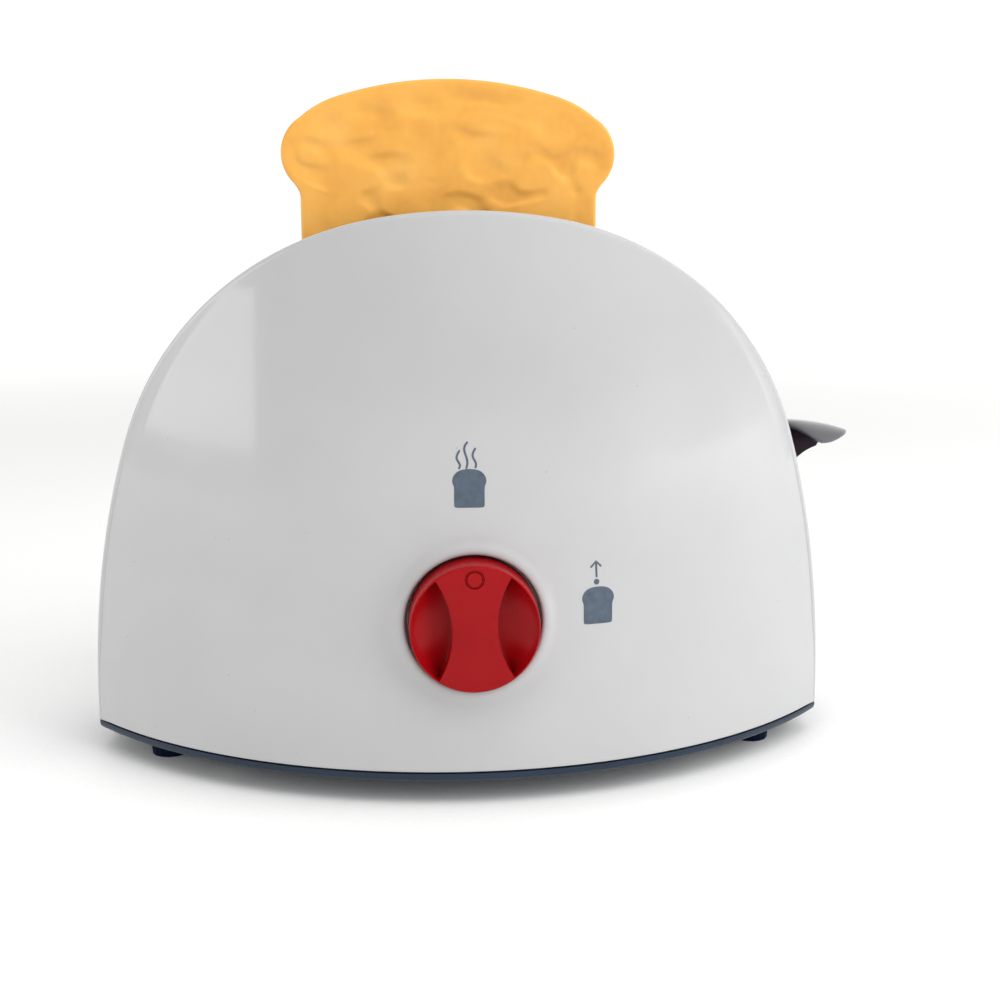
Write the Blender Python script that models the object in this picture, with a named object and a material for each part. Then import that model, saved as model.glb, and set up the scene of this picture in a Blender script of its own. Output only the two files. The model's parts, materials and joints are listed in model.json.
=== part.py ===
# Toy toaster with a push-down lever, a turning knob and two play slices of toast.
# Metres, +Z up. The front faces -Y, the lever is at +X, and the feet stand at z = 0.
# Every piece hangs from one empty, which puts the origin under the middle of the toy's box.

import math

import bmesh
import bpy
from mathutils import Vector

mm = 0.001
degree = math.pi / 180

# Fits and cuts shared by all pieces
gap = 0.3 * mm
overrun = 6 * mm
merge_distance = 0.001 * mm
hole_extra = 1 * mm
round_steps = 16

# Outside of the body: an arch in front view, a lens in plan
half_width = 83 * mm
body_height = 120 * mm
widest_height = 12 * mm
rim_height = 7.5 * mm
plan_depth = 37 * mm
end_face_depth = 14 * mm
face_lean = 6 * mm
parting_depth = 13.5 * mm
wall = 2 * mm
edge_radius = 1.2 * mm
edge_steps = 3
edge_limit_share = 0.9
smooth_angle = 35 * degree

# Arcs of the arch: radii as shares of the half width, and the angles at which they end
side_arc_share = 2.17
shoulder_arc_share = 0.85
side_arc_end = 19.7 * degree
shoulder_arc_end = 80.7 * degree
side_steps = 8
shoulder_steps = 20
crown_steps = 3

# Places across the body, as shares of the half width, so that the inside follows the outside
slot_share = 1.012
slice_share = 0.8747
bread_tray_share = 0.8675
rib_share = 0.3614
rod_share = 0.5542
blade_share = 0.6265
lever_screw_share = 0.6988
arm_share = 0.7711
recess_share = 0.8819
foot_share = 0.8072
base_screw_share = 0.6265
upper_screw_share = 0.7048
lower_screw_share = 0.8434

# Heights under the arch, as shares of its height over the widest place
upper_screw_height_share = 0.6574
rod_top_share = 0.8287
lever_top_share = 0.56111
travel_share = 0.25926

# Centre band, with two bread slots in its deck and a recess for the lever in its right end
band_inset = 0.25 * mm
band_wall = 2 * mm
slot_width = 10 * mm
slot_divider = 3 * mm
slot_end_wall = 1.6 * mm
slot_guide_wall = 1.5 * mm
slot_clearance = 11.3 * mm
recess_half = 10.5 * mm
recess_wall = 2 * mm

# Base tray
tray_thickness = 2 * mm
tray_edge_radius = 1.4 * mm
tray_arc_steps = 32

# Screws, and the posts and wells that take them
screw_radius = 1.4 * mm
case_post_radius = 4 * mm
case_well_radius = 5 * mm
case_head_radius = 3.1 * mm
case_head_height = 2.3 * mm
case_seat_depth = 9 * mm
case_seat_floor = 2 * mm
case_screw_reach = 11 * mm
lower_screw_z = 20 * mm
base_post_radius = 3.5 * mm
base_post_height = 12.5 * mm
base_post_set = 3.4 * mm
base_rib_thickness = 2 * mm
base_head_radius = 2.7 * mm
base_head_height = 1.6 * mm
base_screw_reach = 9.5 * mm

# Feet
foot_y = 15.5 * mm
foot_radius = 4.2 * mm
foot_flare = 0.4 * mm
foot_neck_radius = 2 * mm
foot_barb_radius = 2.9 * mm
foot_barb_height = 1.9 * mm
foot_tip_radius = 1.6 * mm

# Guide rods and lift springs
rod_radius = 1.5 * mm
rod_boss_radius = 4 * mm
rod_boss_height = 5.8 * mm
roof_boss_grip = 9.5 * mm
spring_radius = 3 * mm
spring_wire = 0.4 * mm
spring_turns = 10
spring_points_per_turn = 8

# Carriage
carriage_drop = 1.9 * mm
sleeve_radius = 4 * mm
sleeve_drop = 10.7 * mm
sleeve_length = 12 * mm
spine_overhang = 4 * mm
spine_thickness = 2.8 * mm
bread_tray_thickness = 2.5 * mm
bread_tray_inset = 1.5 * mm
rib_thickness = 3 * mm
rib_height = 6 * mm
rib_inset = 1 * mm

# Lever
lever_reach = 9 * mm
blade_drop = 1.2 * mm
blade_height = 10.4 * mm
blade_thickness = 2.8 * mm
arm_thickness = 2.5 * mm
arm_height = 10 * mm
lever_screw_radius = 1.2 * mm
lever_head_radius = 2.6 * mm
lever_head_height = 1.9 * mm
lever_slot_side = 0.5 * mm
paddle_root_gap = 0.6 * mm
paddle_root_half = 2.5 * mm
paddle_half = 8.5 * mm
paddle_nose = 8 * mm
paddle_thickness = 3 * mm
paddle_droop = 1.8 * mm
paddle_nose_share = 0.5
paddle_square = 2.6
paddle_root_steps = 6
paddle_nose_steps = 6
paddle_ring_steps = 16
web_inset = 5.5 * mm
web_reach = 7.5 * mm

# Knob and the well that it turns in
knob_x = 0.6 * mm
knob_z = 38.7 * mm
knob_front = 54.2 * mm
knob_length = 8.5 * mm
knob_radius = 13.3 * mm
knob_taper = 0.3 * mm
knob_edge = 0.5 * mm
knob_steps = 36
well_radius = 13.9 * mm
well_wall = 1.6 * mm
well_floor = 2 * mm
pocket_offset = 23.6 * mm
pocket_radius = 19.1 * mm
pocket_lip = 0.6 * mm
pocket_depth = 4 * mm
marker_height = 9.3 * mm
marker_radius = 1.7 * mm
marker_depth = 0.3 * mm

# Spindle, its bearing, clip and cam
spindle_radius = 3.5 * mm
spindle_socket = 5 * mm
bearing_radius = 5.8 * mm
bearing_length = 4.6 * mm
clip_radius = 5.5 * mm
clip_thickness = 1 * mm
cam_front = 25.5 * mm
cam_thickness = 4.3 * mm
cam_hub_radius = 4.5 * mm
cam_reach = 8.6 * mm
cam_tip_radius = 1.3 * mm

# Latch hook on its pin in the tray's cheeks, and the catch strip of the carriage
hook_x = 16 * mm
hook_z = 14 * mm
hook_hub_radius = 3.2 * mm
hook_hub_front = 22 * mm
hook_front = 20.2 * mm
hook_back = 15.8 * mm
hook_arm_half = 2 * mm
hook_top = 58 * mm
nose_reach = 5 * mm
nose_bottom = 52 * mm
nose_height = 3 * mm
tab_reach = 9.9 * mm
tab_bottom = 36 * mm
tab_height = 10 * mm
tab_join = 3.5 * mm
tab_overlap = 1 * mm
pin_radius = 1.2 * mm
cheek_front = 27.9 * mm
cheek_back = 13.3 * mm
cheek_thickness = 2 * mm
cheek_half = 3.5 * mm
cheek_top = 17.5 * mm
catch_front = 19.5 * mm
catch_thickness = 3 * mm
catch_width = 5.7 * mm
catch_bottom = 50 * mm
catch_end = 3 * mm
notch_depth = 3 * mm
notch_side = 0.5 * mm
bridge_width = 5 * mm
latch_spring_radius = 2.3 * mm
latch_wire = 0.35 * mm
latch_spring_turns = 2
latch_spring_pitch = 1.3 * mm
latch_leg = 4 * mm

# Slices of toast
slice_height = 77.5 * mm
slice_neck_side = 4 * mm
slice_thickness = 7 * mm
slice_offset = -2.4 * mm
crown_radius = 80 * mm
crown_end = 17.5 * degree
ear_radius = 8.85 * mm
ear_drop = 15.7 * mm
ear_start = 58 * degree
ear_end = -46 * degree
slice_arc_steps = 8

# Sizes that follow from those above
plan_radius = (half_width ** 2 + plan_depth ** 2) / (2 * plan_depth)
plan_centre = plan_radius - plan_depth - end_face_depth
arch_rise = body_height - widest_height
lever_top = widest_height + arch_rise * lever_top_share
travel = arch_rise * travel_share
carriage_top = lever_top - carriage_drop
sleeve_bottom = carriage_top - sleeve_drop
slice_bottom = carriage_top + gap
slice_top = slice_bottom + slice_height
slot_length = half_width * slot_share
slot_block_bottom = carriage_top + slot_clearance
slice_width = half_width * slice_share
slice_neck = slice_width - 2 * slice_neck_side
bread_tray_length = half_width * bread_tray_share
rib_spacing = half_width * rib_share
rod_x = half_width * rod_share
rod_top = widest_height + arch_rise * rod_top_share
roof_boss_bottom = rod_top - roof_boss_grip
lever_tip = half_width + lever_reach
blade_inner_end = half_width * blade_share
lever_screw_x = half_width * lever_screw_share
arm_end = half_width * arm_share
recess_floor_x = half_width * recess_share
web_start = half_width - web_inset
foot_x = half_width * foot_share
base_screw_x = half_width * base_screw_share
upper_screw_z = widest_height + arch_rise * upper_screw_height_share
case_screw_upper = (half_width * upper_screw_share, upper_screw_z)
case_screw_lower = (half_width * lower_screw_share, lower_screw_z)
screw_bore = screw_radius + gap
rod_bore = rod_radius + gap
tray_top = rim_height - gap
tray_bottom = tray_top - tray_thickness
band_depth = parting_depth - gap
band_middle = -band_inset - band_wall / 2
slot_near = slot_divider / 2
slot_far = slot_near + slot_width
slice_y = slot_near + slot_width / 2
blade_top = lever_top - blade_drop
blade_bottom = blade_top - blade_height
recess_bottom = blade_bottom - travel - gap
arm_near = blade_thickness / 2 + gap
well_floor_depth = knob_front - knob_length - gap
well_back = well_floor_depth - well_floor
bearing_end = well_back - bearing_length
knob_back = well_floor_depth + gap
cam_back = cam_front - cam_thickness
catch_top = nose_bottom + nose_height + travel + catch_end
catch_right = hook_x - nose_reach - gap
origin_x = -(lever_tip - half_width) / 2
origin_y = (knob_front - plan_depth - end_face_depth) / 2


def material(name, colour, roughness, metallic=0.0):
    made = bpy.data.materials.new(name)
    made.use_nodes = True
    shader = made.node_tree.nodes["Principled BSDF"]
    shader.inputs["Base Color"].default_value = (*colour, 1.0)
    shader.inputs["Roughness"].default_value = roughness
    shader.inputs["Metallic"].default_value = metallic
    return made


def empty(name, parent, place):
    made = bpy.data.objects.new(name, None)
    bpy.context.collection.objects.link(made)
    made.parent = parent
    made.location = Vector(place) - body_place(parent)
    return made


def body_place(item):
    # Place in the body's own axes, which the root empty carries
    place = Vector()
    while item is not None and item.parent is not None:
        place += item.location
        item = item.parent
    return place


def piece(name, bm, colour, parent, origin=(0, 0, 0)):
    bmesh.ops.recalc_face_normals(bm, faces=bm.faces)
    bmesh.ops.translate(bm, verts=bm.verts, vec=-Vector(origin))
    mesh = bpy.data.meshes.new(name)
    bm.to_mesh(mesh)
    bm.free()
    mesh.shade_smooth()
    mesh.set_sharp_from_angle(angle=smooth_angle)
    mesh.materials.append(colour)
    made = bpy.data.objects.new(name, mesh)
    bpy.context.collection.objects.link(made)
    made.parent = parent
    made.location = Vector(origin) - body_place(parent)
    return made


def combine(target, operation, bm, name):
    # A Boolean of the target with a hidden tool in the same body axes
    bmesh.ops.recalc_face_normals(bm, faces=bm.faces)
    mesh = bpy.data.meshes.new(name)
    bm.to_mesh(mesh)
    bm.free()
    made = bpy.data.objects.new(name, mesh)
    bpy.context.collection.objects.link(made)
    made.parent = target.parent
    made.location = -body_place(target.parent)
    made.hide_render = True
    made.display_type = "WIRE"
    change = target.modifiers.new(name, "BOOLEAN")
    change.operation = operation
    change.solver = "EXACT"
    change.object = made


def spot(axis, u, v, w):
    # A point from its two places across an axis and its place along it
    if axis == "Z":
        return Vector((u, v, w))
    return Vector((u, w, v)) if axis == "Y" else Vector((w, u, v))


def circle(u, v, radius, steps=round_steps):
    turns = [2 * math.pi * step / steps for step in range(steps)]
    return [(u + radius * math.cos(turn), v + radius * math.sin(turn)) for turn in turns]


def arc(u, v, radius, start, end, steps):
    turns = [start + (end - start) * step / steps for step in range(steps + 1)]
    return [(u + radius * math.cos(turn), v + radius * math.sin(turn)) for turn in turns]


def bridge(bm, first, second):
    for step in range(len(first)):
        after = (step + 1) % len(first)
        bm.faces.new((first[step], first[after], second[after], second[step]))


def strip(bm, first, second):
    for step in range(len(first) - 1):
        bm.faces.new((first[step], first[step + 1], second[step + 1], second[step]))


def add_prism(bm, axis, outline, start, end):
    rings = [[bm.verts.new(spot(axis, u, v, w)) for u, v in outline] for w in (start, end)]
    bridge(bm, *rings)
    for ring in rings:
        bm.faces.new(ring)


def add_box(bm, xs, ys, zs):
    corners = [(xs[0], ys[0]), (xs[1], ys[0]), (xs[1], ys[1]), (xs[0], ys[1])]
    add_prism(bm, "Z", corners, zs[0], zs[1])


def add_turned(bm, axis, u, v, profile, steps=round_steps):
    # A profile of (radius, place along the axis) that starts and ends on the axis
    verts = [bm.verts.new(spot(axis, u + radius, v, w)) for radius, w in profile]
    edges = [bm.edges.new(pair) for pair in zip(verts, verts[1:])]
    line = spot(axis, 0, 0, 1)
    bmesh.ops.spin(bm, geom=verts + edges, cent=spot(axis, u, v, 0), axis=line,
                   angle=2 * math.pi, steps=steps, use_merge=True)
    bmesh.ops.remove_doubles(bm, verts=bm.verts, dist=merge_distance)


def arch_points(foot):
    # Points (x, z) and outward normals of the arch, from the right foot over the top to the left foot
    side = side_arc_share
    shoulder = shoulder_arc_share
    turn = side_arc_end
    across = 1 - side + (side - shoulder) * math.cos(turn)
    up = (side - shoulder) * math.sin(turn)
    crown = shoulder + across / math.cos(shoulder_arc_end)
    crown_up = up + (shoulder - crown) * math.sin(shoulder_arc_end)
    scale_z = arch_rise / (crown_up + crown)
    arcs = ((1 - side, 0, side, 0, side_arc_end, side_steps),
            (across, up, shoulder, side_arc_end, shoulder_arc_end, shoulder_steps),
            (0, crown_up, crown, shoulder_arc_end, math.pi / 2, crown_steps))
    right = [(half_width, foot, 1.0, 0.0)]
    for u, v, radius, start, end, steps in arcs:
        for step in range(steps):
            angle = start + (end - start) * step / steps
            normal = Vector((math.cos(angle) / half_width, math.sin(angle) / scale_z)).normalized()
            x = half_width * (u + radius * math.cos(angle))
            z = widest_height + scale_z * (v + radius * math.sin(angle))
            right.append((x, z, normal.x, normal.y))
    right.append((0.0, body_height, 0.0, 1.0))
    left = [(-x, z, -nx, nz) for x, z, nx, nz in reversed(right[:-1])]
    return right + left


def arch_offset(offset, foot=rim_height):
    return [(x + nx * offset, z + nz * offset) for x, z, nx, nz in arch_points(foot)]


def arch_height(x, offset):
    # Height of the offset arch over a place across it
    points = [point for point in arch_offset(offset) if point[1] > widest_height]
    for (x1, z1), (x2, z2) in zip(points, points[1:]):
        if x2 <= x <= x1:
            return z1 + (z2 - z1) * (x1 - x) / (x1 - x2)
    return widest_height


def face_depth(x, z, inset=0.0):
    # Distance from the mid plane to the face, which leans back towards its top
    bulge = math.sqrt(max((plan_radius - inset) ** 2 - x ** 2, 0)) - plan_centre
    return bulge - face_lean * (z - rim_height) / (body_height - rim_height)


def add_shell(bm, side):
    # Half of the body's skin, open at the parting plane and below; side is -1 at the front
    points = arch_points(rim_height)
    last = len(points) - 1

    def ring_at(places):
        return [bm.verts.new((x, side * depth, z)) for x, z, depth in places]

    outer = [ring_at([(x, z, parting_depth) for x, z, nx, nz in points])]
    for step in range(edge_steps + 1):
        turn = math.pi / 2 * step / edge_steps
        places = []
        for x, z, nx, nz in points:
            radius = min(edge_radius, edge_limit_share * (face_depth(x, rim_height) - parting_depth))
            depth = face_depth(x - nx * radius, z - nz * radius) - radius * (1 - math.sin(turn))
            inset = radius * (1 - math.cos(turn))
            places.append((x - nx * inset, z - nz * inset, depth))
        outer.append(ring_at(places))
    inner_places = []
    for x, z, nx, nz in points:
        px, pz = x - nx * wall, z - nz * wall
        inner_places.append((px, pz, max(face_depth(px, pz, wall), parting_depth + gap)))
    inner = [ring_at([(x, z, parting_depth) for x, z, depth in inner_places]), ring_at(inner_places)]

    feet = []
    for rings, inset in ((outer, 0.0), (inner, wall)):
        top = rings[-1]
        foot = [top[0]]
        for vert in top[2:last - 1]:
            depth = max(face_depth(vert.co.x, rim_height, inset), parting_depth + gap)
            foot.append(bm.verts.new((vert.co.x, side * depth, rim_height)))
        foot.append(top[last])
        feet.append(foot)
        strip(bm, foot, top[1:last])
        for first, second in zip(rings, rings[1:]):
            strip(bm, first, second)
    strip(bm, feet[0], feet[1])
    strip(bm, outer[0], inner[0])
    for end in (0, last):
        bm.faces.new([ring[end] for ring in outer] + [ring[end] for ring in reversed(inner)])


def add_post(bm, side, x, z, rings, steps=round_steps):
    # A post along Y from a shell's wall; a ring without a depth follows the middle of that wall
    made = []
    for radius, depth in rings:
        ring = []
        for px, pz in circle(x, z, radius, steps):
            reach = face_depth(px, pz, wall / 2) if depth is None else depth
            ring.append(bm.verts.new((px, side * reach, pz)))
        made.append(ring)
    for first, second in zip(made, made[1:]):
        bridge(bm, first, second)
    bm.faces.new(made[0])
    bm.faces.new(made[-1])


def case_screw_places():
    return [(side * x, z) for x, z in (case_screw_upper, case_screw_lower) for side in (-1, 1)]


def base_screw_row():
    # The base posts stand a little inside the shells' walls, so that the screw heads hide under the tray
    return face_depth(base_screw_x, rim_height, wall) - base_post_radius - base_post_set


def add_base_posts(bm, side):
    for x in (-base_screw_x, base_screw_x):
        outline = circle(x, side * base_screw_row(), base_post_radius)
        add_prism(bm, "Z", outline, rim_height, rim_height + base_post_height)


def add_base_ribs(bm, side):
    # A rib joins each base post to the shell's wall
    top = rim_height + base_post_height
    reach = face_depth(base_screw_x, top, wall / 2)
    half = base_rib_thickness / 2
    for x in (-base_screw_x, base_screw_x):
        along = (side * base_screw_row(), side * reach)
        add_box(bm, (x - half, x + half), along, (rim_height, top))


def add_base_pilots(bm, side):
    top = rim_height + base_screw_reach + hole_extra
    for x in (-base_screw_x, base_screw_x):
        outline = circle(x, side * base_screw_row(), screw_bore)
        add_prism(bm, "Z", outline, rim_height - overrun, top)


def front_shell(colour, parent):
    bm = bmesh.new()
    add_shell(bm, -1)
    shell = piece("front_shell", bm, colour, parent)

    posts = bmesh.new()
    for x, z in case_screw_places():
        add_post(posts, -1, x, z, [(case_post_radius, None), (case_post_radius, gap / 2)])
    add_base_posts(posts, -1)
    combine(shell, "UNION", posts, "front_posts")

    ribs = bmesh.new()
    add_base_ribs(ribs, -1)
    combine(shell, "UNION", ribs, "front_base_ribs")

    cup = bmesh.new()
    outer = well_radius + well_wall
    rings = [(well_radius - well_wall, None), (outer, None), (outer, well_back),
             (bearing_radius, well_back), (bearing_radius, bearing_end)]
    add_post(cup, -1, knob_x, knob_z, rings, knob_steps)
    combine(shell, "UNION", cup, "front_cup")

    cuts = bmesh.new()
    bore = spindle_radius + gap
    profile = [(0, -knob_front - overrun), (well_radius, -knob_front - overrun),
               (well_radius, -well_floor_depth), (bore, -well_floor_depth),
               (bore, overrun - bearing_end), (0, overrun - bearing_end)]
    add_turned(cuts, "Y", knob_x, knob_z, profile, knob_steps)
    for x, z in case_screw_places():
        add_prism(cuts, "Y", circle(x, z, screw_bore), -case_screw_reach - hole_extra, overrun)
    add_base_pilots(cuts, -1)
    combine(shell, "DIFFERENCE", cuts, "front_cuts")


def rear_shell(colour, parent):
    bm = bmesh.new()
    add_shell(bm, 1)
    shell = piece("rear_shell", bm, colour, parent)

    posts = bmesh.new()
    seat_back = case_seat_depth - case_seat_floor
    for x, z in case_screw_places():
        rings = [(case_well_radius, None), (case_well_radius, seat_back),
                 (case_post_radius, seat_back), (case_post_radius, gap / 2)]
        add_post(posts, 1, x, z, rings)
    add_base_posts(posts, 1)
    combine(shell, "UNION", posts, "rear_posts")

    ribs = bmesh.new()
    add_base_ribs(ribs, 1)
    combine(shell, "UNION", ribs, "rear_base_ribs")

    cuts = bmesh.new()
    outside = plan_depth + end_face_depth + overrun
    well = case_head_radius + gap
    for x, z in case_screw_places():
        profile = [(0, outside), (well, outside), (well, case_seat_depth),
                   (screw_bore, case_seat_depth), (screw_bore, -overrun), (0, -overrun)]
        add_turned(cuts, "Y", x, z, profile)
    add_base_pilots(cuts, 1)
    combine(shell, "DIFFERENCE", cuts, "rear_cuts")


def add_band(bm):
    rings = []
    for offset in (-band_inset, -band_inset - band_wall):
        for side in (-1, 1):
            rings.append([bm.verts.new((x, side * band_depth, z)) for x, z in arch_offset(offset)])
    outer_front, outer_rear, inner_front, inner_rear = rings
    strip(bm, outer_front, outer_rear)
    strip(bm, inner_front, inner_rear)
    strip(bm, outer_front, inner_front)
    strip(bm, outer_rear, inner_rear)
    for end in (0, -1):
        bm.faces.new((outer_front[end], outer_rear[end], inner_rear[end], inner_front[end]))


def add_slot_block(bm):
    half = slot_length / 2 + slot_end_wall
    depth = slot_far + slot_guide_wall
    roof = [(x, z) for x, z in arch_offset(band_middle) if abs(x) < half and z > slot_block_bottom]
    corner = arch_height(half, band_middle)
    outline = [(half, slot_block_bottom), (half, corner), *roof, (-half, corner),
               (-half, slot_block_bottom)]
    add_prism(bm, "Y", outline, -depth, depth)


def add_roof_bosses(bm):
    for x in (-rod_x, rod_x):
        low = circle(x, 0, rod_boss_radius)
        foot = [bm.verts.new((u, v, roof_boss_bottom)) for u, v in low]
        top = [bm.verts.new((u, v, arch_height(u, band_middle))) for u, v in low]
        bridge(bm, foot, top)
        bm.faces.new(foot)
        bm.faces.new(top)


def add_recess_block(bm):
    back = recess_floor_x - recess_wall
    low = recess_bottom - recess_wall
    side = [(x, z) for x, z in arch_offset(band_middle) if x > back and z > low]
    base = [(x, z) for x, z in arch_offset(band_middle) if x > back and z <= low][-1]
    share = (low - base[1]) / (side[0][1] - base[1])
    corner = (base[0] + (side[0][0] - base[0]) * share, low)
    outline = [(back, low), corner, *side, (back, arch_height(back, band_middle))]
    depth = recess_half + recess_wall
    add_prism(bm, "Y", outline, -depth, depth)


def centre_band(colour, parent):
    bm = bmesh.new()
    add_band(bm)
    band = piece("centre_band", bm, colour, parent)

    blocks = bmesh.new()
    add_slot_block(blocks)
    add_recess_block(blocks)
    combine(band, "UNION", blocks, "band_blocks")

    bosses = bmesh.new()
    add_roof_bosses(bosses)
    combine(band, "UNION", bosses, "band_bosses")

    cuts = bmesh.new()
    half = slot_length / 2
    heights = (slot_block_bottom - overrun, body_height + overrun)
    for near, far in ((slot_near, slot_far), (-slot_far, -slot_near)):
        add_box(cuts, (-half, half), (near, far), heights)
    for x in (-rod_x, rod_x):
        add_prism(cuts, "Z", circle(x, 0, rod_bore), roof_boss_bottom - overrun, rod_top + gap)
    combine(band, "DIFFERENCE", cuts, "band_cuts")

    recess = bmesh.new()
    heights = (recess_bottom, body_height)
    add_box(recess, (recess_floor_x, lever_tip), (-recess_half, recess_half), heights)
    combine(band, "DIFFERENCE", recess, "band_recess")

    slot = bmesh.new()
    side = blade_thickness / 2 + lever_slot_side
    add_box(slot, (arm_end, lever_tip), (-side, side), (recess_bottom, blade_top + gap))
    combine(band, "DIFFERENCE", slot, "band_lever_slot")


def tray_ring(bm, inset, z):
    reach = math.asin((half_width - inset) / (plan_radius - inset))
    front = arc(0, plan_centre, plan_radius - inset, -math.pi / 2 - reach, -math.pi / 2 + reach,
                tray_arc_steps)
    rear = [(-x, -y) for x, y in front]
    return [bm.verts.new((x, y, z)) for x, y in front + rear]


def base_tray(colour, parent):
    bm = bmesh.new()
    rings = [tray_ring(bm, 0.0, tray_top)]
    for step in range(edge_steps + 1):
        turn = math.pi / 2 * step / edge_steps
        inset = tray_edge_radius * (1 - math.cos(turn))
        rings.append(tray_ring(bm, inset, tray_bottom + tray_edge_radius * (1 - math.sin(turn))))
    for first, second in zip(rings, rings[1:]):
        bridge(bm, first, second)
    bm.faces.new(rings[0])
    bm.faces.new(rings[-1])
    tray = piece("base_tray", bm, colour, parent)

    posts = bmesh.new()
    low = tray_top - tray_thickness / 2
    for x in (-rod_x, rod_x):
        add_prism(posts, "Z", circle(x, 0, rod_boss_radius), low, tray_top + rod_boss_height)
    for near in (-cheek_front, -cheek_back - cheek_thickness):
        across = (hook_x - cheek_half, hook_x + cheek_half)
        add_box(posts, across, (near, near + cheek_thickness), (low, cheek_top))
    combine(tray, "UNION", posts, "tray_posts")

    cuts = bmesh.new()
    for x in (-rod_x, rod_x):
        add_prism(cuts, "Z", circle(x, 0, rod_bore), rim_height, cheek_top + overrun)
    pin_hole = circle(hook_x, hook_z, pin_radius + gap)
    add_prism(cuts, "Y", pin_hole, -cheek_front - overrun, overrun - cheek_back)
    for across in (-1, 1):
        for along in (-1, 1):
            foot_hole = circle(across * foot_x, along * foot_y, foot_neck_radius + gap)
            screw_hole = circle(across * base_screw_x, along * base_screw_row(), screw_bore)
            add_prism(cuts, "Z", foot_hole, 0, tray_top + overrun)
            add_prism(cuts, "Z", screw_hole, 0, tray_top + overrun)
    combine(tray, "DIFFERENCE", cuts, "tray_cuts")


def corners():
    return [("front_left", -1, -1), ("front_right", 1, -1), ("rear_left", -1, 1), ("rear_right", 1, 1)]


def feet(colour, parent):
    top = tray_bottom - gap
    barb = tray_top + gap
    profile = [(0, 0), (foot_radius, 0), (foot_radius + foot_flare, top), (foot_neck_radius, top),
               (foot_neck_radius, barb), (foot_barb_radius, barb),
               (foot_tip_radius, barb + foot_barb_height), (0, barb + foot_barb_height)]
    for name, across, along in corners():
        bm = bmesh.new()
        add_turned(bm, "Z", across * foot_x, along * foot_y, profile)
        piece("foot_" + name, bm, colour, parent, (across * foot_x, along * foot_y, 0))


def base_screws(colour, parent):
    seat = tray_bottom - gap
    tip = rim_height + base_screw_reach
    profile = [(0, seat - base_head_height), (base_head_radius, seat - base_head_height),
               (base_head_radius, seat), (screw_radius, seat), (screw_radius, tip), (0, tip)]
    for name, across, along in corners():
        place = (across * base_screw_x, along * base_screw_row())
        bm = bmesh.new()
        add_turned(bm, "Z", *place, profile)
        piece("base_screw_" + name, bm, colour, parent, (*place, seat))


def case_screws(colour, parent):
    seat = case_seat_depth + gap
    head = seat + case_head_height
    profile = [(0, head), (case_head_radius, head), (case_head_radius, seat),
               (screw_radius, seat), (screw_radius, -case_screw_reach), (0, -case_screw_reach)]
    names = ("upper_left", "upper_right", "lower_left", "lower_right")
    for name, (x, z) in zip(names, case_screw_places()):
        bm = bmesh.new()
        add_turned(bm, "Y", x, z, profile)
        piece("case_screw_" + name, bm, colour, parent, (x, seat, z))


def guide_rods(colour, parent):
    for name, x in (("left", -rod_x), ("right", rod_x)):
        bm = bmesh.new()
        add_prism(bm, "Z", circle(x, 0, rod_radius), rim_height + gap, rod_top)
        piece("guide_rod_" + name, bm, colour, parent, (x, 0, rim_height + gap))


def wire(name, points, radius, colour, parent, origin):
    # A round wire along points in body axes
    curve = bpy.data.curves.new(name, "CURVE")
    curve.dimensions = "3D"
    curve.bevel_depth = radius
    curve.bevel_resolution = 1
    curve.use_fill_caps = True
    line = curve.splines.new("POLY")
    line.points.add(len(points) - 1)
    for target, point in zip(line.points, points):
        target.co = (*(Vector(point) - Vector(origin)), 1)
    curve.materials.append(colour)
    made = bpy.data.objects.new(name, curve)
    bpy.context.collection.objects.link(made)
    made.parent = parent
    made.location = Vector(origin) - body_place(parent)


def lift_springs(colour, parent):
    low = tray_top + rod_boss_height + gap
    start = low + spring_wire
    rise = sleeve_bottom - gap - spring_wire - start
    count = spring_turns * spring_points_per_turn
    for name, x in (("left", -rod_x), ("right", rod_x)):
        points = []
        for step in range(count + 1):
            turn = 2 * math.pi * step / spring_points_per_turn
            place = (x + spring_radius * math.cos(turn), spring_radius * math.sin(turn))
            points.append((*place, start + rise * step / count))
        wire("lift_spring_" + name, points, spring_wire, colour, parent, (x, 0, low))
    print("least gap in the lift springs", rise / spring_turns - 2 * spring_wire)


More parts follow.
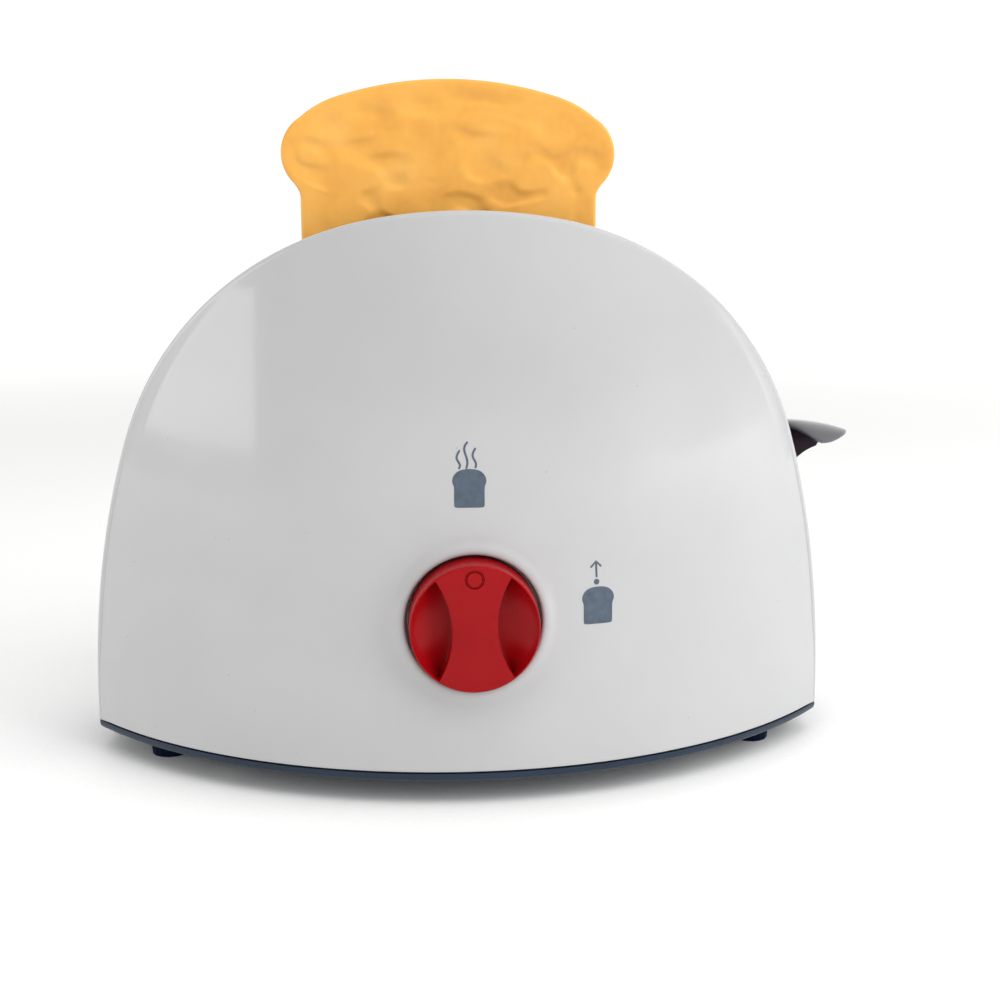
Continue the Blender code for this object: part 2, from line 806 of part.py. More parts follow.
def toast_carriage(colour, parent):
    half = spine_thickness / 2
    end = rod_x + spine_overhang
    bm = bmesh.new()
    add_box(bm, (-end, end), (-half, half), (sleeve_bottom, carriage_top))
    carriage = piece("toast_carriage", bm, colour, parent)

    sleeves = bmesh.new()
    for x in (-rod_x, rod_x):
        outline = circle(x, 0, sleeve_radius)
        add_prism(sleeves, "Z", outline, sleeve_bottom, sleeve_bottom + sleeve_length)
    combine(carriage, "UNION", sleeves, "carriage_sleeves")

    ribs = bmesh.new()
    near, far = slot_near + bread_tray_inset, slot_far - bread_tray_inset
    rib_top = carriage_top - bread_tray_thickness / 2
    for x in (-rib_spacing, 0, rib_spacing):
        across = (x - rib_thickness / 2, x + rib_thickness / 2)
        along = (rib_inset - far, far - rib_inset)
        add_box(ribs, across, along, (rib_top - rib_height, rib_top))
    combine(carriage, "UNION", ribs, "carriage_ribs")

    trays = bmesh.new()
    length = (-bread_tray_length / 2, bread_tray_length / 2)
    heights = (carriage_top - bread_tray_thickness, carriage_top)
    add_box(trays, length, (near, far), heights)
    add_box(trays, length, (-far, -near), heights)
    middle = blade_top - blade_height / 2
    arm = (middle - arm_height / 2, middle + arm_height / 2)
    add_box(trays, (rod_x, arm_end), (arm_near, arm_near + arm_thickness), arm)
    left = catch_right - catch_width
    along = (-catch_front, catch_thickness - catch_front)
    add_box(trays, (left, catch_right), along, (catch_bottom, catch_top))
    combine(carriage, "UNION", trays, "carriage_trays")

    link = bmesh.new()
    along = (catch_thickness / 2 - catch_front, rib_inset - far)
    add_box(link, (left, left + bridge_width), along, (rib_top - rib_height, carriage_top))
    combine(carriage, "UNION", link, "carriage_bridge")

    cuts = bmesh.new()
    for x in (-rod_x, rod_x):
        heights = (sleeve_bottom - overrun, sleeve_bottom + sleeve_length + overrun)
        add_prism(cuts, "Z", circle(x, 0, rod_bore), *heights)
    hole = circle(lever_screw_x, middle, lever_screw_radius + gap)
    add_prism(cuts, "Y", hole, 0, arm_near + arm_thickness + overrun)
    low = nose_bottom + travel - notch_side
    high = nose_bottom + nose_height + travel + notch_side
    across = (catch_right - notch_depth, catch_right + overrun)
    add_box(cuts, across, (-catch_front - overrun, overrun / 2 - catch_front), (low, high))
    combine(carriage, "DIFFERENCE", cuts, "carriage_cuts")


def add_paddle(bm):
    # A leaf with rounded edges: rings across X that widen from the root and close at the tip
    root = recess_floor_x + paddle_root_gap
    widest = lever_tip - paddle_nose
    stations = []
    for step in range(paddle_root_steps + 1):
        share = step / paddle_root_steps
        blend = share * share * (3 - 2 * share)
        half = paddle_root_half + (paddle_half - paddle_root_half) * blend
        stations.append((root + (widest - root) * share, half, paddle_thickness / 2))
    for step in range(1, paddle_nose_steps):
        turn = math.pi / 2 * step / paddle_nose_steps
        thin = paddle_nose_share + (1 - paddle_nose_share) * math.cos(turn)
        place = widest + paddle_nose * math.sin(turn)
        stations.append((place, paddle_half * math.cos(turn), paddle_thickness / 2 * thin))
    power = 2 / paddle_square
    rings = []
    for x, half, thick in stations:
        drop = paddle_droop * ((x - root) / (lever_tip - root)) ** 2
        centre = lever_top - paddle_thickness / 2 - drop
        ring = []
        for y, z in circle(0, 0, 1, paddle_ring_steps):
            y = math.copysign(abs(y) ** power, y) * half
            z = math.copysign(abs(z) ** power, z) * thick
            ring.append(bm.verts.new((x, y, centre + z)))
        rings.append(ring)
    for first, second in zip(rings, rings[1:]):
        bridge(bm, first, second)
    bm.faces.new(rings[0])
    tip = bm.verts.new((lever_tip, 0, lever_top - paddle_thickness / 2 - paddle_droop))
    for first, second in zip(rings[-1], rings[-1][1:] + rings[-1][:1]):
        bm.faces.new((first, second, tip))


def lever_paddle(colour, parent):
    bm = bmesh.new()
    add_paddle(bm)
    lever = piece("lever_paddle", bm, colour, parent)

    blade = bmesh.new()
    inside = lever_top - paddle_thickness / 2
    web_top = inside - paddle_thickness / 4
    outline = [(blade_inner_end, blade_bottom), (web_start, blade_bottom),
               (web_start + web_reach, web_top), (web_start, inside),
               (recess_floor_x + paddle_root_gap * 2, blade_top), (blade_inner_end, blade_top)]
    add_prism(blade, "Y", outline, -blade_thickness / 2, blade_thickness / 2)
    combine(lever, "UNION", blade, "lever_blade")

    cuts = bmesh.new()
    middle = blade_top - blade_height / 2
    hole = circle(lever_screw_x, middle, lever_screw_radius + gap)
    add_prism(cuts, "Y", hole, -overrun, overrun)
    combine(lever, "DIFFERENCE", cuts, "lever_cuts")


def lever_screw(colour, parent):
    seat = -blade_thickness / 2 - gap
    tip = arm_near + arm_thickness
    middle = blade_top - blade_height / 2
    profile = [(0, seat - lever_head_height), (lever_head_radius, seat - lever_head_height),
               (lever_head_radius, seat), (lever_screw_radius, seat), (lever_screw_radius, tip),
               (0, tip)]
    bm = bmesh.new()
    add_turned(bm, "Y", lever_screw_x, middle, profile)
    piece("lever_screw", bm, colour, parent, (lever_screw_x, seat, middle))


def slice_outline():
    # Bread with a domed top and rounded ears over a narrower body, from the right foot round
    ear_x = slice_width / 2 - ear_radius
    ear_z = slice_top - ear_drop
    crown = arc(0, slice_top - crown_radius, crown_radius, math.pi / 2, math.pi / 2 - crown_end,
                slice_arc_steps)
    ear = arc(ear_x, ear_z, ear_radius, ear_start, ear_end, slice_arc_steps)
    neck_z = ear[-1][1] - (ear[-1][0] - slice_neck / 2)
    right = [*crown, *ear, (slice_neck / 2, neck_z), (slice_neck / 2, slice_bottom)]
    left = [(-x, z) for x, z in reversed(right[1:])]
    return right + left


def toast(name, side, colour, parent):
    outline = [(slice_offset + x, z) for x, z in slice_outline()]
    middle = side * slice_y
    bm = bmesh.new()
    add_prism(bm, "Y", outline, middle - slice_thickness / 2, middle + slice_thickness / 2)
    piece(name, bm, colour, parent, (slice_offset, middle, slice_bottom))


def control_knob(colour, parent):
    edge = knob_radius - knob_taper
    profile = [(0, -knob_back), (knob_radius, -knob_back)]
    profile += [(r, y) for r, y in arc(edge - knob_edge, knob_edge - knob_front, knob_edge, 0,
                                       -math.pi / 2, edge_steps)]
    profile.append((0, -knob_front))
    bm = bmesh.new()
    add_turned(bm, "Y", knob_x, knob_z, profile, knob_steps)
    knob = piece("control_knob", bm, colour, parent, (knob_x, -knob_back, knob_z))

    pockets = bmesh.new()
    limit = edge - knob_edge / 2 - pocket_lip
    # The pocket's side arc meets its rim arc where the two circles cross
    across = (pocket_offset ** 2 + limit ** 2 - pocket_radius ** 2) / (2 * pocket_offset)
    rim_turn = math.acos(across / limit)
    side_turn = math.asin(limit * math.sin(rim_turn) / pocket_radius)
    rim = arc(0, 0, limit, -rim_turn, rim_turn, knob_steps // 4)
    side = arc(pocket_offset, 0, pocket_radius, math.pi - side_turn, math.pi + side_turn,
               knob_steps // 4)
    shape = rim + side[1:-1]
    for way in (-1, 1):
        outline = [(knob_x + way * x, knob_z + z) for x, z in shape]
        add_prism(pockets, "Y", outline, -knob_front - overrun, pocket_depth - knob_front)
    combine(knob, "DIFFERENCE", pockets, "knob_pockets")

    cuts = bmesh.new()
    socket = circle(knob_x, knob_z, spindle_radius + gap)
    add_prism(cuts, "Y", socket, -knob_back - spindle_socket, overrun - knob_back)
    marker = circle(knob_x, knob_z + marker_height, marker_radius)
    add_prism(cuts, "Y", marker, -knob_front - overrun, marker_depth - knob_front)
    combine(knob, "DIFFERENCE", cuts, "knob_cuts")


def cam_outline():
    # The hull of the hub's circle and the tip's circle, with the tip pointing up
    reach = cam_reach - cam_tip_radius
    turn = math.acos((cam_hub_radius - cam_tip_radius) / reach)
    up = math.pi / 2
    tip = arc(knob_x, knob_z + reach, cam_tip_radius, up - turn, up + turn, edge_steps * 2)
    hub = arc(knob_x, knob_z, cam_hub_radius, up + turn, up - turn + 2 * math.pi, round_steps)
    return tip + hub


def knob_spindle(colour, parent):
    front = knob_back + spindle_socket - gap
    bm = bmesh.new()
    add_prism(bm, "Y", circle(knob_x, knob_z, spindle_radius), -front, -cam_back)
    spindle = piece("knob_spindle", bm, colour, parent, (knob_x, -knob_back, knob_z))

    cam = bmesh.new()
    add_prism(cam, "Y", cam_outline(), -cam_front, -cam_back)
    combine(spindle, "UNION", cam, "spindle_cam")


def spindle_clip(colour, parent):
    front = bearing_end - gap
    bore = spindle_radius + gap
    bm = bmesh.new()
    rings = []
    for radius in (clip_radius, bore):
        for depth in (front, front - clip_thickness):
            outline = circle(knob_x, knob_z, radius)
            rings.append([bm.verts.new((x, -depth, z)) for x, z in outline])
    outer_front, outer_back, inner_front, inner_back = rings
    bridge(bm, outer_front, outer_back)
    bridge(bm, inner_front, inner_back)
    bridge(bm, outer_front, inner_front)
    bridge(bm, outer_back, inner_back)
    piece("spindle_clip", bm, colour, parent, (knob_x, -front, knob_z))


def latch_hook(colour, parent):
    left, right = hook_x - hook_arm_half, hook_x + hook_arm_half
    nose_tip = hook_x - nose_reach
    outline = [(left, hook_z), (right, hook_z), (right, hook_top), (left, hook_top),
               (nose_tip, nose_bottom + nose_height), (nose_tip, nose_bottom), (left, nose_bottom)]
    bm = bmesh.new()
    add_prism(bm, "Y", outline, -hook_front, -hook_back)
    hook = piece("latch_hook", bm, colour, parent, (hook_x, -hook_back, hook_z))

    hub = bmesh.new()
    add_prism(hub, "Y", circle(hook_x, hook_z, hook_hub_radius), -hook_hub_front, -hook_back)
    tab = (tab_bottom, tab_bottom + tab_height)
    add_box(hub, (hook_x - tab_reach, right), (-cam_front, -cam_back), tab)
    combine(hook, "UNION", hub, "hook_hub")

    join = bmesh.new()
    along = (-cam_back - tab_overlap, tab_overlap - hook_front)
    inner = (tab_bottom + tab_overlap, tab_bottom + tab_height - tab_overlap)
    add_box(join, (right - tab_join, right - tab_overlap / 2), along, inner)
    combine(hook, "UNION", join, "hook_join")

    bore = bmesh.new()
    reach = (-hook_hub_front - overrun, overrun - hook_back)
    add_prism(bore, "Y", circle(hook_x, hook_z, pin_radius + gap), *reach)
    combine(hook, "DIFFERENCE", bore, "hook_bore")


def latch_pin(colour, parent):
    front, back = cheek_front + gap, cheek_back - gap
    bm = bmesh.new()
    add_prism(bm, "Y", circle(hook_x, hook_z, pin_radius), -front, -back)
    piece("latch_pin", bm, colour, parent, (hook_x, -front, hook_z))


def latch_spring(colour, parent):
    start = cheek_thickness + gap + latch_wire - cheek_front
    count = latch_spring_turns * spring_points_per_turn
    right = hook_x + latch_spring_radius
    points = [(right, start, hook_z - latch_leg)]
    for step in range(count + 1):
        turn = 2 * math.pi * step / spring_points_per_turn
        along = start + latch_spring_pitch * step / spring_points_per_turn
        points.append((hook_x + latch_spring_radius * math.cos(turn), along,
                       hook_z + latch_spring_radius * math.sin(turn)))
    points.append((right, start + latch_spring_pitch * latch_spring_turns, hook_z + latch_leg))
    wire("latch_spring", points, latch_wire, colour, parent, (hook_x, start, hook_z))
    print("least gap in the latch spring", latch_spring_pitch - 2 * latch_wire)


def main():
    for item in list(bpy.data.objects):
        bpy.data.objects.remove(item, do_unlink=True)

    grey = material("grey_shell", (0.60, 0.60, 0.60), 0.28)
    slate = material("slate_plastic", (0.045, 0.075, 0.12), 0.35)
    dark = material("dark_feet", (0.012, 0.016, 0.035), 0.5)
    charcoal = material("charcoal_lever", (0.05, 0.05, 0.06), 0.25)
    red = material("red_knob", (0.45, 0.015, 0.02), 0.3)
    bread = material("toast_plastic", (0.92, 0.48, 0.11), 0.4)
    white = material("white_lift", (0.75, 0.75, 0.72), 0.45)
    steel = material("steel", (0.62, 0.62, 0.60), 0.3, 1.0)

    toaster = empty("toaster", None, (origin_x, origin_y, 0))
    lift = empty("lift", toaster, (rod_x, 0, carriage_top))
    knob_axis = empty("knob_axis", toaster, (knob_x, -knob_back, knob_z))
    latch_axis = empty("latch_axis", toaster, (hook_x, -hook_back, hook_z))

    front_shell(grey, toaster)
    rear_shell(grey, toaster)
    centre_band(slate, toaster)
    base_tray(slate, toaster)
    feet(dark, toaster)
    base_screws(steel, toaster)
    case_screws(steel, toaster)
    guide_rods(steel, toaster)
    lift_springs(steel, toaster)
    toast_carriage(white, lift)
    lever_paddle(charcoal, lift)
    lever_screw(steel, lift)
    toast("toast_front", -1, bread, lift)
    toast("toast_rear", 1, bread, lift)
    control_knob(red, knob_axis)
    knob_spindle(white, knob_axis)
    spindle_clip(steel, knob_axis)
    latch_hook(white, latch_axis)
    latch_spring(steel, latch_axis)
    latch_pin(steel, toaster)


main()
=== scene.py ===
# Looks of the toy toaster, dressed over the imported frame: metres, +Z up, the front faces -Y.
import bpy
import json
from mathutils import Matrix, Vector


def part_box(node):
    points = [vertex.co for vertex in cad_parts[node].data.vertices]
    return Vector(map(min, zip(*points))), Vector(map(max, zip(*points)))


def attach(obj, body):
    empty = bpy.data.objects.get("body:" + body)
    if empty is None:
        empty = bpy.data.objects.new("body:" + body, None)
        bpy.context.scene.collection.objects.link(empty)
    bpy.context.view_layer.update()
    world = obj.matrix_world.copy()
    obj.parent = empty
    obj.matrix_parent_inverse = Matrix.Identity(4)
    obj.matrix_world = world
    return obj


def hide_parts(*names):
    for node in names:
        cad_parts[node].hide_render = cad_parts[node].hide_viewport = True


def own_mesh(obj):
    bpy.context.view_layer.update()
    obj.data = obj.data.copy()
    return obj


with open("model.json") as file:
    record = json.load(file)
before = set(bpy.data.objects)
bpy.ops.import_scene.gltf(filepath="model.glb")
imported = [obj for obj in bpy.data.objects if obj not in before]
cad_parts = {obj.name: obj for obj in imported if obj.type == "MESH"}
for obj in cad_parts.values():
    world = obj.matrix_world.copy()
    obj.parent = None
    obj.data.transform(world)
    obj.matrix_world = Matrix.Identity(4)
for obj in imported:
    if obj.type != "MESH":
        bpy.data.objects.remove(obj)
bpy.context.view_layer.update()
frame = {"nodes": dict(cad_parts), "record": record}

import json
import math

import bmesh
import bpy
from mathutils import Matrix, Vector, noise

mm = 0.001
degree = math.pi / 180
nodes = frame["nodes"]

# The body's own axes stand this far from the frame's, and every size below is in body axes
bodyShift = Vector((-4.5, 1.6, 0)) * mm

# The arch and the lens-shaped plan that all the housing pieces share, in mm
body = {
    "halfWidth": 83, "height": 120, "widest": 12, "rim": 7.5,
    "planDepth": 37, "endDepth": 14, "lean": 6, "parting": 13.5,
    "sideArc": 2.17, "shoulderArc": 0.85, "sideEnd": 19.7, "shoulderEnd": 80.7,
}
planRadius = (body["halfWidth"] ** 2 + body["planDepth"] ** 2) / (2 * body["planDepth"])
planCentre = planRadius - body["planDepth"] - body["endDepth"]


def faceDepth(x, z, inset=0.0):
    # how far the face stands out from the middle plane, in mm
    bulge = math.sqrt(max((planRadius - inset) ** 2 - x * x, 0)) - planCentre
    return bulge - body["lean"] * (z - body["rim"]) / (body["height"] - body["rim"])


def archOutline(sideSteps, shoulderSteps, crownSteps):
    # (x, z, normal x, normal z) over the arch from the right foot to the left foot, in mm
    side, shoulder = body["sideArc"], body["shoulderArc"]
    turn, top = body["sideEnd"] * degree, body["shoulderEnd"] * degree
    across = 1 - side + (side - shoulder) * math.cos(turn)
    up = (side - shoulder) * math.sin(turn)
    crown = shoulder + across / math.cos(top)
    crownUp = up + (shoulder - crown) * math.sin(top)
    scaleZ = (body["height"] - body["widest"]) / (crownUp + crown)
    arcs = ((1 - side, 0, side, 0, turn, sideSteps),
            (across, up, shoulder, turn, top, shoulderSteps),
            (0, crownUp, crown, top, math.pi / 2, crownSteps))
    right = [(body["halfWidth"], body["rim"], 1.0, 0.0)]
    for u, v, radius, start, end, steps in arcs:
        for step in range(steps):
            angle = start + (end - start) * step / steps
            normal = Vector((math.cos(angle) / body["halfWidth"], math.sin(angle) / scaleZ)).normalized()
            right.append((body["halfWidth"] * (u + radius * math.cos(angle)),
                          body["widest"] + scaleZ * (v + radius * math.sin(angle)), normal.x, normal.y))
    right.append((0.0, body["height"], 0.0, 1.0))
    return right + [(-x, z, -nx, nz) for x, z, nx, nz in reversed(right[:-1])]


def toFrame(x, y, z):
    return Vector((x, y, z)) * mm + bodyShift


# Small tools for edit mode

def deselectAll():
    if bpy.context.object and bpy.context.object.mode != "OBJECT":
        bpy.ops.object.mode_set(mode="OBJECT")
    bpy.ops.object.select_all(action="DESELECT")


def startEdit(made):
    deselectAll()
    bpy.context.view_layer.objects.active = made
    made.select_set(True)
    bpy.ops.object.mode_set(mode="EDIT")
    return bmesh.from_edit_mesh(made.data)


def pick(bm, kind, test):
    # selects only the vertices, edges or faces that pass the test
    bpy.ops.mesh.select_all(action="DESELECT")
    bpy.context.tool_settings.mesh_select_mode = (kind == "VERT", kind == "EDGE", kind == "FACE")
    bpy.ops.mesh.select_mode(type=kind)
    for item in {"VERT": bm.verts, "EDGE": bm.edges, "FACE": bm.faces}[kind]:
        if test(item):
            item.select_set(True)
    bm.select_flush_mode()
    bmesh.update_edit_mesh(bpy.context.object.data)


def finishPiece(made, name, bodyName, finish, angle=35, replaced=()):
    # applies modifiers and the place, shades it, and hands it to its CAD body
    deselectAll()
    bpy.context.view_layer.objects.active = made
    made.select_set(True)
    for change in list(made.modifiers):
        bpy.ops.object.modifier_apply(modifier=change.name)
    bpy.ops.object.transform_apply(location=True, rotation=True, scale=True)
    bpy.ops.object.shade_smooth_by_angle(angle=angle * degree)
    made.name = made.data.name = name
    made.data.materials.clear()
    made.data.materials.append(finish)
    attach(made, bodyName)
    if replaced:
        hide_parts(*replaced)
    made.select_set(False)
    return made


# Colours and nodes

def hexColour(code):
    # an sRGB hex code as linear RGBA
    parts = [int(code[i:i + 2], 16) / 255 for i in (1, 3, 5)]
    return (*[p / 12.92 if p <= 0.04045 else ((p + 0.055) / 1.055) ** 2.4 for p in parts], 1.0)


def addNode(tree, kind, settings=None, inputs=None, links=None):
    # one node with its settings, its input values and what feeds its inputs
    made = tree.nodes.new(kind)
    for name, value in (settings or {}).items():
        setattr(made, name, value)
    for name, value in (inputs or {}).items():
        made.inputs[name].default_value = value
    for name, source in (links or {}).items():
        tree.links.new(source, made.inputs[name])
    return made


def newMaterial(name, shader):
    made = bpy.data.materials.new(name)
    made.use_nodes = True
    tree = made.node_tree
    tree.nodes.clear()
    principled = addNode(tree, "ShaderNodeBsdfPrincipled", inputs=shader)
    addNode(tree, "ShaderNodeOutputMaterial", links={"Surface": principled.outputs["BSDF"]})
    where = addNode(tree, "ShaderNodeTexCoord").outputs["Object"]
    return made, tree, principled, where


def ramp(tree, source, stops):
    # a colour ramp with its stops as (place, colour)
    made = addNode(tree, "ShaderNodeValToRGB", links={"Fac": source})
    while len(made.color_ramp.elements) < len(stops):
        made.color_ramp.elements.new(0.5)
    for element, (place, colour) in zip(made.color_ramp.elements, stops):
        element.position = place
        element.color = colour
    return made.outputs["Color"]


def noiseOver(tree, where, size, detail, **more):
    # a noise with clouds of about one size, in mm
    return addNode(tree, "ShaderNodeTexNoise", inputs={"Scale": 1 / (size * mm), "Detail": detail, **more},
                   links={"Vector": where}).outputs["Fac"]


def paint(tree, shader, source, stops):
    # the base colour from a texture, with its stops as (place, hex code)
    colour = ramp(tree, source, [(place, hexColour(code)) for place, code in stops])
    tree.links.new(colour, shader.inputs["Base Color"])


def roughen(tree, shader, source, low, high):
    # the roughness from a texture, between two values
    grey = ramp(tree, source, [(0.3, (low, low, low, 1)), (0.7, (high, high, high, 1))])
    tree.links.new(grey, shader.inputs["Roughness"])


def emboss(tree, shader, source, strength, height):
    # a bump from a texture, with its height in mm
    bump = addNode(tree, "ShaderNodeBump", inputs={"Strength": strength, "Distance": height * mm},
                   links={"Height": source})
    tree.links.new(bump.outputs["Normal"], shader.inputs["Normal"])


def ringPiece(name, rings, caps=(False, False)):
    # starts from a circle and extrudes it ring by ring; a ring is a list of body places in mm
    count = len(rings[0])
    deselectAll()
    bpy.ops.mesh.primitive_circle_add(vertices=count, radius=mm, fill_type="NOTHING")
    made = bpy.context.object
    made.name = name
    bm = startEdit(made)
    spoke = bm.verts.layers.int.new("spoke")
    bm.verts.ensure_lookup_table()
    for index, vert in enumerate(bm.verts):
        vert[spoke] = index
        vert.co = toFrame(*rings[0][index])
    bpy.ops.mesh.select_all(action="SELECT")
    if caps[0]:
        bpy.ops.mesh.edge_face_add()
        bpy.ops.mesh.poke()
        pick(bm, "EDGE", lambda edge: edge.is_boundary)
    for ring in rings[1:]:
        bpy.ops.mesh.extrude_edges_move()
        bm = bmesh.from_edit_mesh(made.data)
        spoke = bm.verts.layers.int["spoke"]
        for vert in bm.verts:
            if vert.select:
                vert.co = toFrame(*ring[vert[spoke]])
    if caps[1]:
        bpy.ops.mesh.edge_face_add()
        bpy.ops.mesh.poke()
    bm.verts.layers.int.remove(bm.verts.layers.int["spoke"])
    bmesh.update_edit_mesh(made.data)
    bpy.ops.mesh.select_all(action="SELECT")
    bpy.ops.mesh.remove_doubles(threshold=0.002 * mm)
    bpy.ops.mesh.normals_make_consistent(inside=False)
    bpy.ops.object.mode_set(mode="OBJECT")
    return made


def carve(made, tool, operation="DIFFERENCE"):
    # cuts or joins the tool, which is then deleted
    deselectAll()
    bpy.context.view_layer.objects.active = made
    change = made.modifiers.new("carve", "BOOLEAN")
    change.operation, change.solver, change.object = operation, "EXACT", tool
    bpy.ops.object.modifier_apply(modifier=change.name)
    bpy.data.objects.remove(tool, do_unlink=True)


def turned(name, axis, centre, profile, steps=48, caps=(True, True)):
    # rings of (radius, place along the axis) round an axis through a body place
    rings = []
    for radius, along in profile:
        ring = []
        for step in range(steps):
            a = 2 * math.pi * step / steps
            u, v = radius * math.cos(a), radius * math.sin(a)
            if axis == "Y":
                ring.append((centre[0] + u, along, centre[1] + v))
            else:
                ring.append((centre[0] + u, centre[1] + v, along))
        rings.append(ring)
    return ringPiece(name, rings, caps)


def roundCorner(u, v, radius, start, steps):
    # (u, v) points of a quarter turn about the corner's centre
    return [(u + radius * math.cos((start + 90 * s / steps) * degree),
             v + radius * math.sin((start + 90 * s / steps) * degree)) for s in range(steps + 1)]


# Camera at the photograph's angle
camera = {"place": (-12.26, -302.36, 113.56), "lens": 47.04, "pitch": 78.92, "yaw": -4.092}
cameraData = bpy.data.cameras.new("photoCamera")
cameraData.lens = camera["lens"]
cameraData.sensor_width = 36
cameraData.clip_start = 0.01
photoCamera = bpy.data.objects.new("photoCamera", cameraData)
bpy.context.scene.collection.objects.link(photoCamera)
photoCamera.location = toFrame(*camera["place"])
photoCamera.rotation_euler = (camera["pitch"] * degree, 0, camera["yaw"] * degree)
bpy.context.scene.camera = photoCamera

# Plain pale floor and soft studio light
studio = {
    "floorSize": 8, "floorLow": 0.02, "floorColours": [(0.3, "#f4f4f3"), (0.7, "#f7f7f6")],
    "floorGlow": 0.35, "glowFrom": 0.35, "glowTo": 1.3, "behind": 1.05, "infront": 0.62, "aim": (0, 0, 0.07),
    "rightBox": {"place": (0.75, -0.35, 0.42), "size": (0.7, 0.9), "power": 6.5},
    "leftBox": {"place": (-0.62, -0.195, 0.195), "size": (0.52, 0.34), "power": 0.95},
    "topBox": {"place": (0.05, -0.40, 0.90), "size": (0.9, 0.5), "power": 3.2},
}
deselectAll()
bpy.ops.mesh.primitive_plane_add(size=studio["floorSize"], location=(0, 0, -studio["floorLow"] * mm))
floor = bpy.context.object
floor.name = "studioFloor"
startEdit(floor)
bpy.ops.mesh.subdivide(number_cuts=4)
bpy.ops.object.mode_set(mode="OBJECT")
# the sheet glows where it is far away, so it fades to white
paper, tree, shader, where = newMaterial("matt paper sweep", {
    "Roughness": 0.9, "Emission Color": hexColour("#ffffff")})
reach = addNode(tree, "ShaderNodeVectorMath", {"operation": "LENGTH"}, links={"Vector": where})
fade = addNode(tree, "ShaderNodeMapRange", {"interpolation_type": "SMOOTHSTEP"},
               {"From Min": studio["glowFrom"], "From Max": studio["glowTo"], "To Min": 0.0,
                "To Max": studio["floorGlow"]}, {"Value": reach.outputs["Value"]})
tree.links.new(fade.outputs["Result"], shader.inputs["Emission Strength"])
grain = addNode(tree, "ShaderNodeTexNoise", inputs={"Scale": 900.0}, links={"Vector": where})
paint(tree, shader, grain.outputs["Fac"], studio["floorColours"])
floor.data.materials.append(paper)

world = bpy.data.worlds.new("softStudio")
world.use_nodes = True
# white behind the toaster, and a little dimmer on the side that it faces
sky = addNode(world.node_tree, "ShaderNodeTexCoord").outputs["Generated"]
sides = addNode(world.node_tree, "ShaderNodeSeparateXYZ", links={"Vector": sky})
glow = addNode(world.node_tree, "ShaderNodeMapRange", {"interpolation_type": "SMOOTHSTEP"},
               {"From Min": 0.2, "From Max": 0.8, "To Min": studio["infront"], "To Max": studio["behind"]},
               {"Value": sides.outputs["Y"]})
world.node_tree.nodes["Background"].inputs["Color"].default_value = hexColour("#ffffff")
world.node_tree.links.new(glow.outputs["Result"], world.node_tree.nodes["Background"].inputs["Strength"])
bpy.context.scene.world = world
bpy.context.scene.view_settings.view_transform = "Standard"
for name in ("rightBox", "leftBox", "topBox"):
    box = studio[name]
    light = bpy.data.lights.new(name, "AREA")
    light.shape, light.size, light.size_y, light.energy = "RECTANGLE", *box["size"], box["power"]
    lamp = bpy.data.objects.new(name, light)
    bpy.context.scene.collection.objects.link(lamp)
    lamp.location = box["place"]
    aim = Vector(studio["aim"]) - Vector(box["place"])
    lamp.rotation_euler = aim.to_track_quat("-Z", "Y").to_euler()
    # only the left box shows in reflections, as the pale patch on the shell
    lamp.visible_glossy = name == "leftBox"
print("stage and camera done")


# Finishes

def shellFinish():
    # injection-moulded glossy ABS: an even pale grey with clear soft reflections, faint waves and a few specks
    made, tree, shader, where = newMaterial("glossy ABS moulded pale grey", {
        "IOR": 1.53, "Roughness": 0.13, "Coat Weight": 0.45, "Coat Roughness": 0.05})
    cloud = noiseOver(tree, where, 35, 3.0)
    tint = ramp(tree, cloud, [(0.35, hexColour("#afafb0")), (0.65, hexColour("#b3b3b4"))])
    cells = addNode(tree, "ShaderNodeTexVoronoi", inputs={"Scale": 1 / (7 * mm), "Randomness": 1.0},
                    links={"Vector": where})
    near = addNode(tree, "ShaderNodeMath", {"operation": "LESS_THAN"}, {1: 0.035}, {0: cells.outputs["Distance"]})
    faint = addNode(tree, "ShaderNodeMath", {"operation": "MULTIPLY"}, {1: 0.35}, {0: near.outputs["Value"]})
    speck = addNode(tree, "ShaderNodeMix", {"data_type": "RGBA"}, {7: hexColour("#8f8f8e")},
                    {0: faint.outputs["Value"], 6: tint})
    tree.links.new(speck.outputs[2], shader.inputs["Base Color"])
    roughen(tree, shader, cloud, 0.11, 0.15)
    # waves of the moulded skin, about 9 mm apart and about a hundredth of a millimetre high
    emboss(tree, shader, noiseOver(tree, where, 9, 1.0), 0.6, 0.02)
    return made


def grainedPlastic(name, dark, light, roughness, grainSize, depth, extra=None):
    # moulded plastic with a fine spark-eroded grain, which softens its shine
    made, tree, shader, where = newMaterial(name, {"IOR": 1.53, "Roughness": roughness, **(extra or {})})
    cloud = noiseOver(tree, where, 14, 4.0)
    paint(tree, shader, cloud, [(0.3, dark), (0.7, light)])
    roughen(tree, shader, cloud, roughness - 0.04, roughness + 0.05)
    emboss(tree, shader, noiseOver(tree, where, grainSize, 2.0), 0.5, depth)
    return made


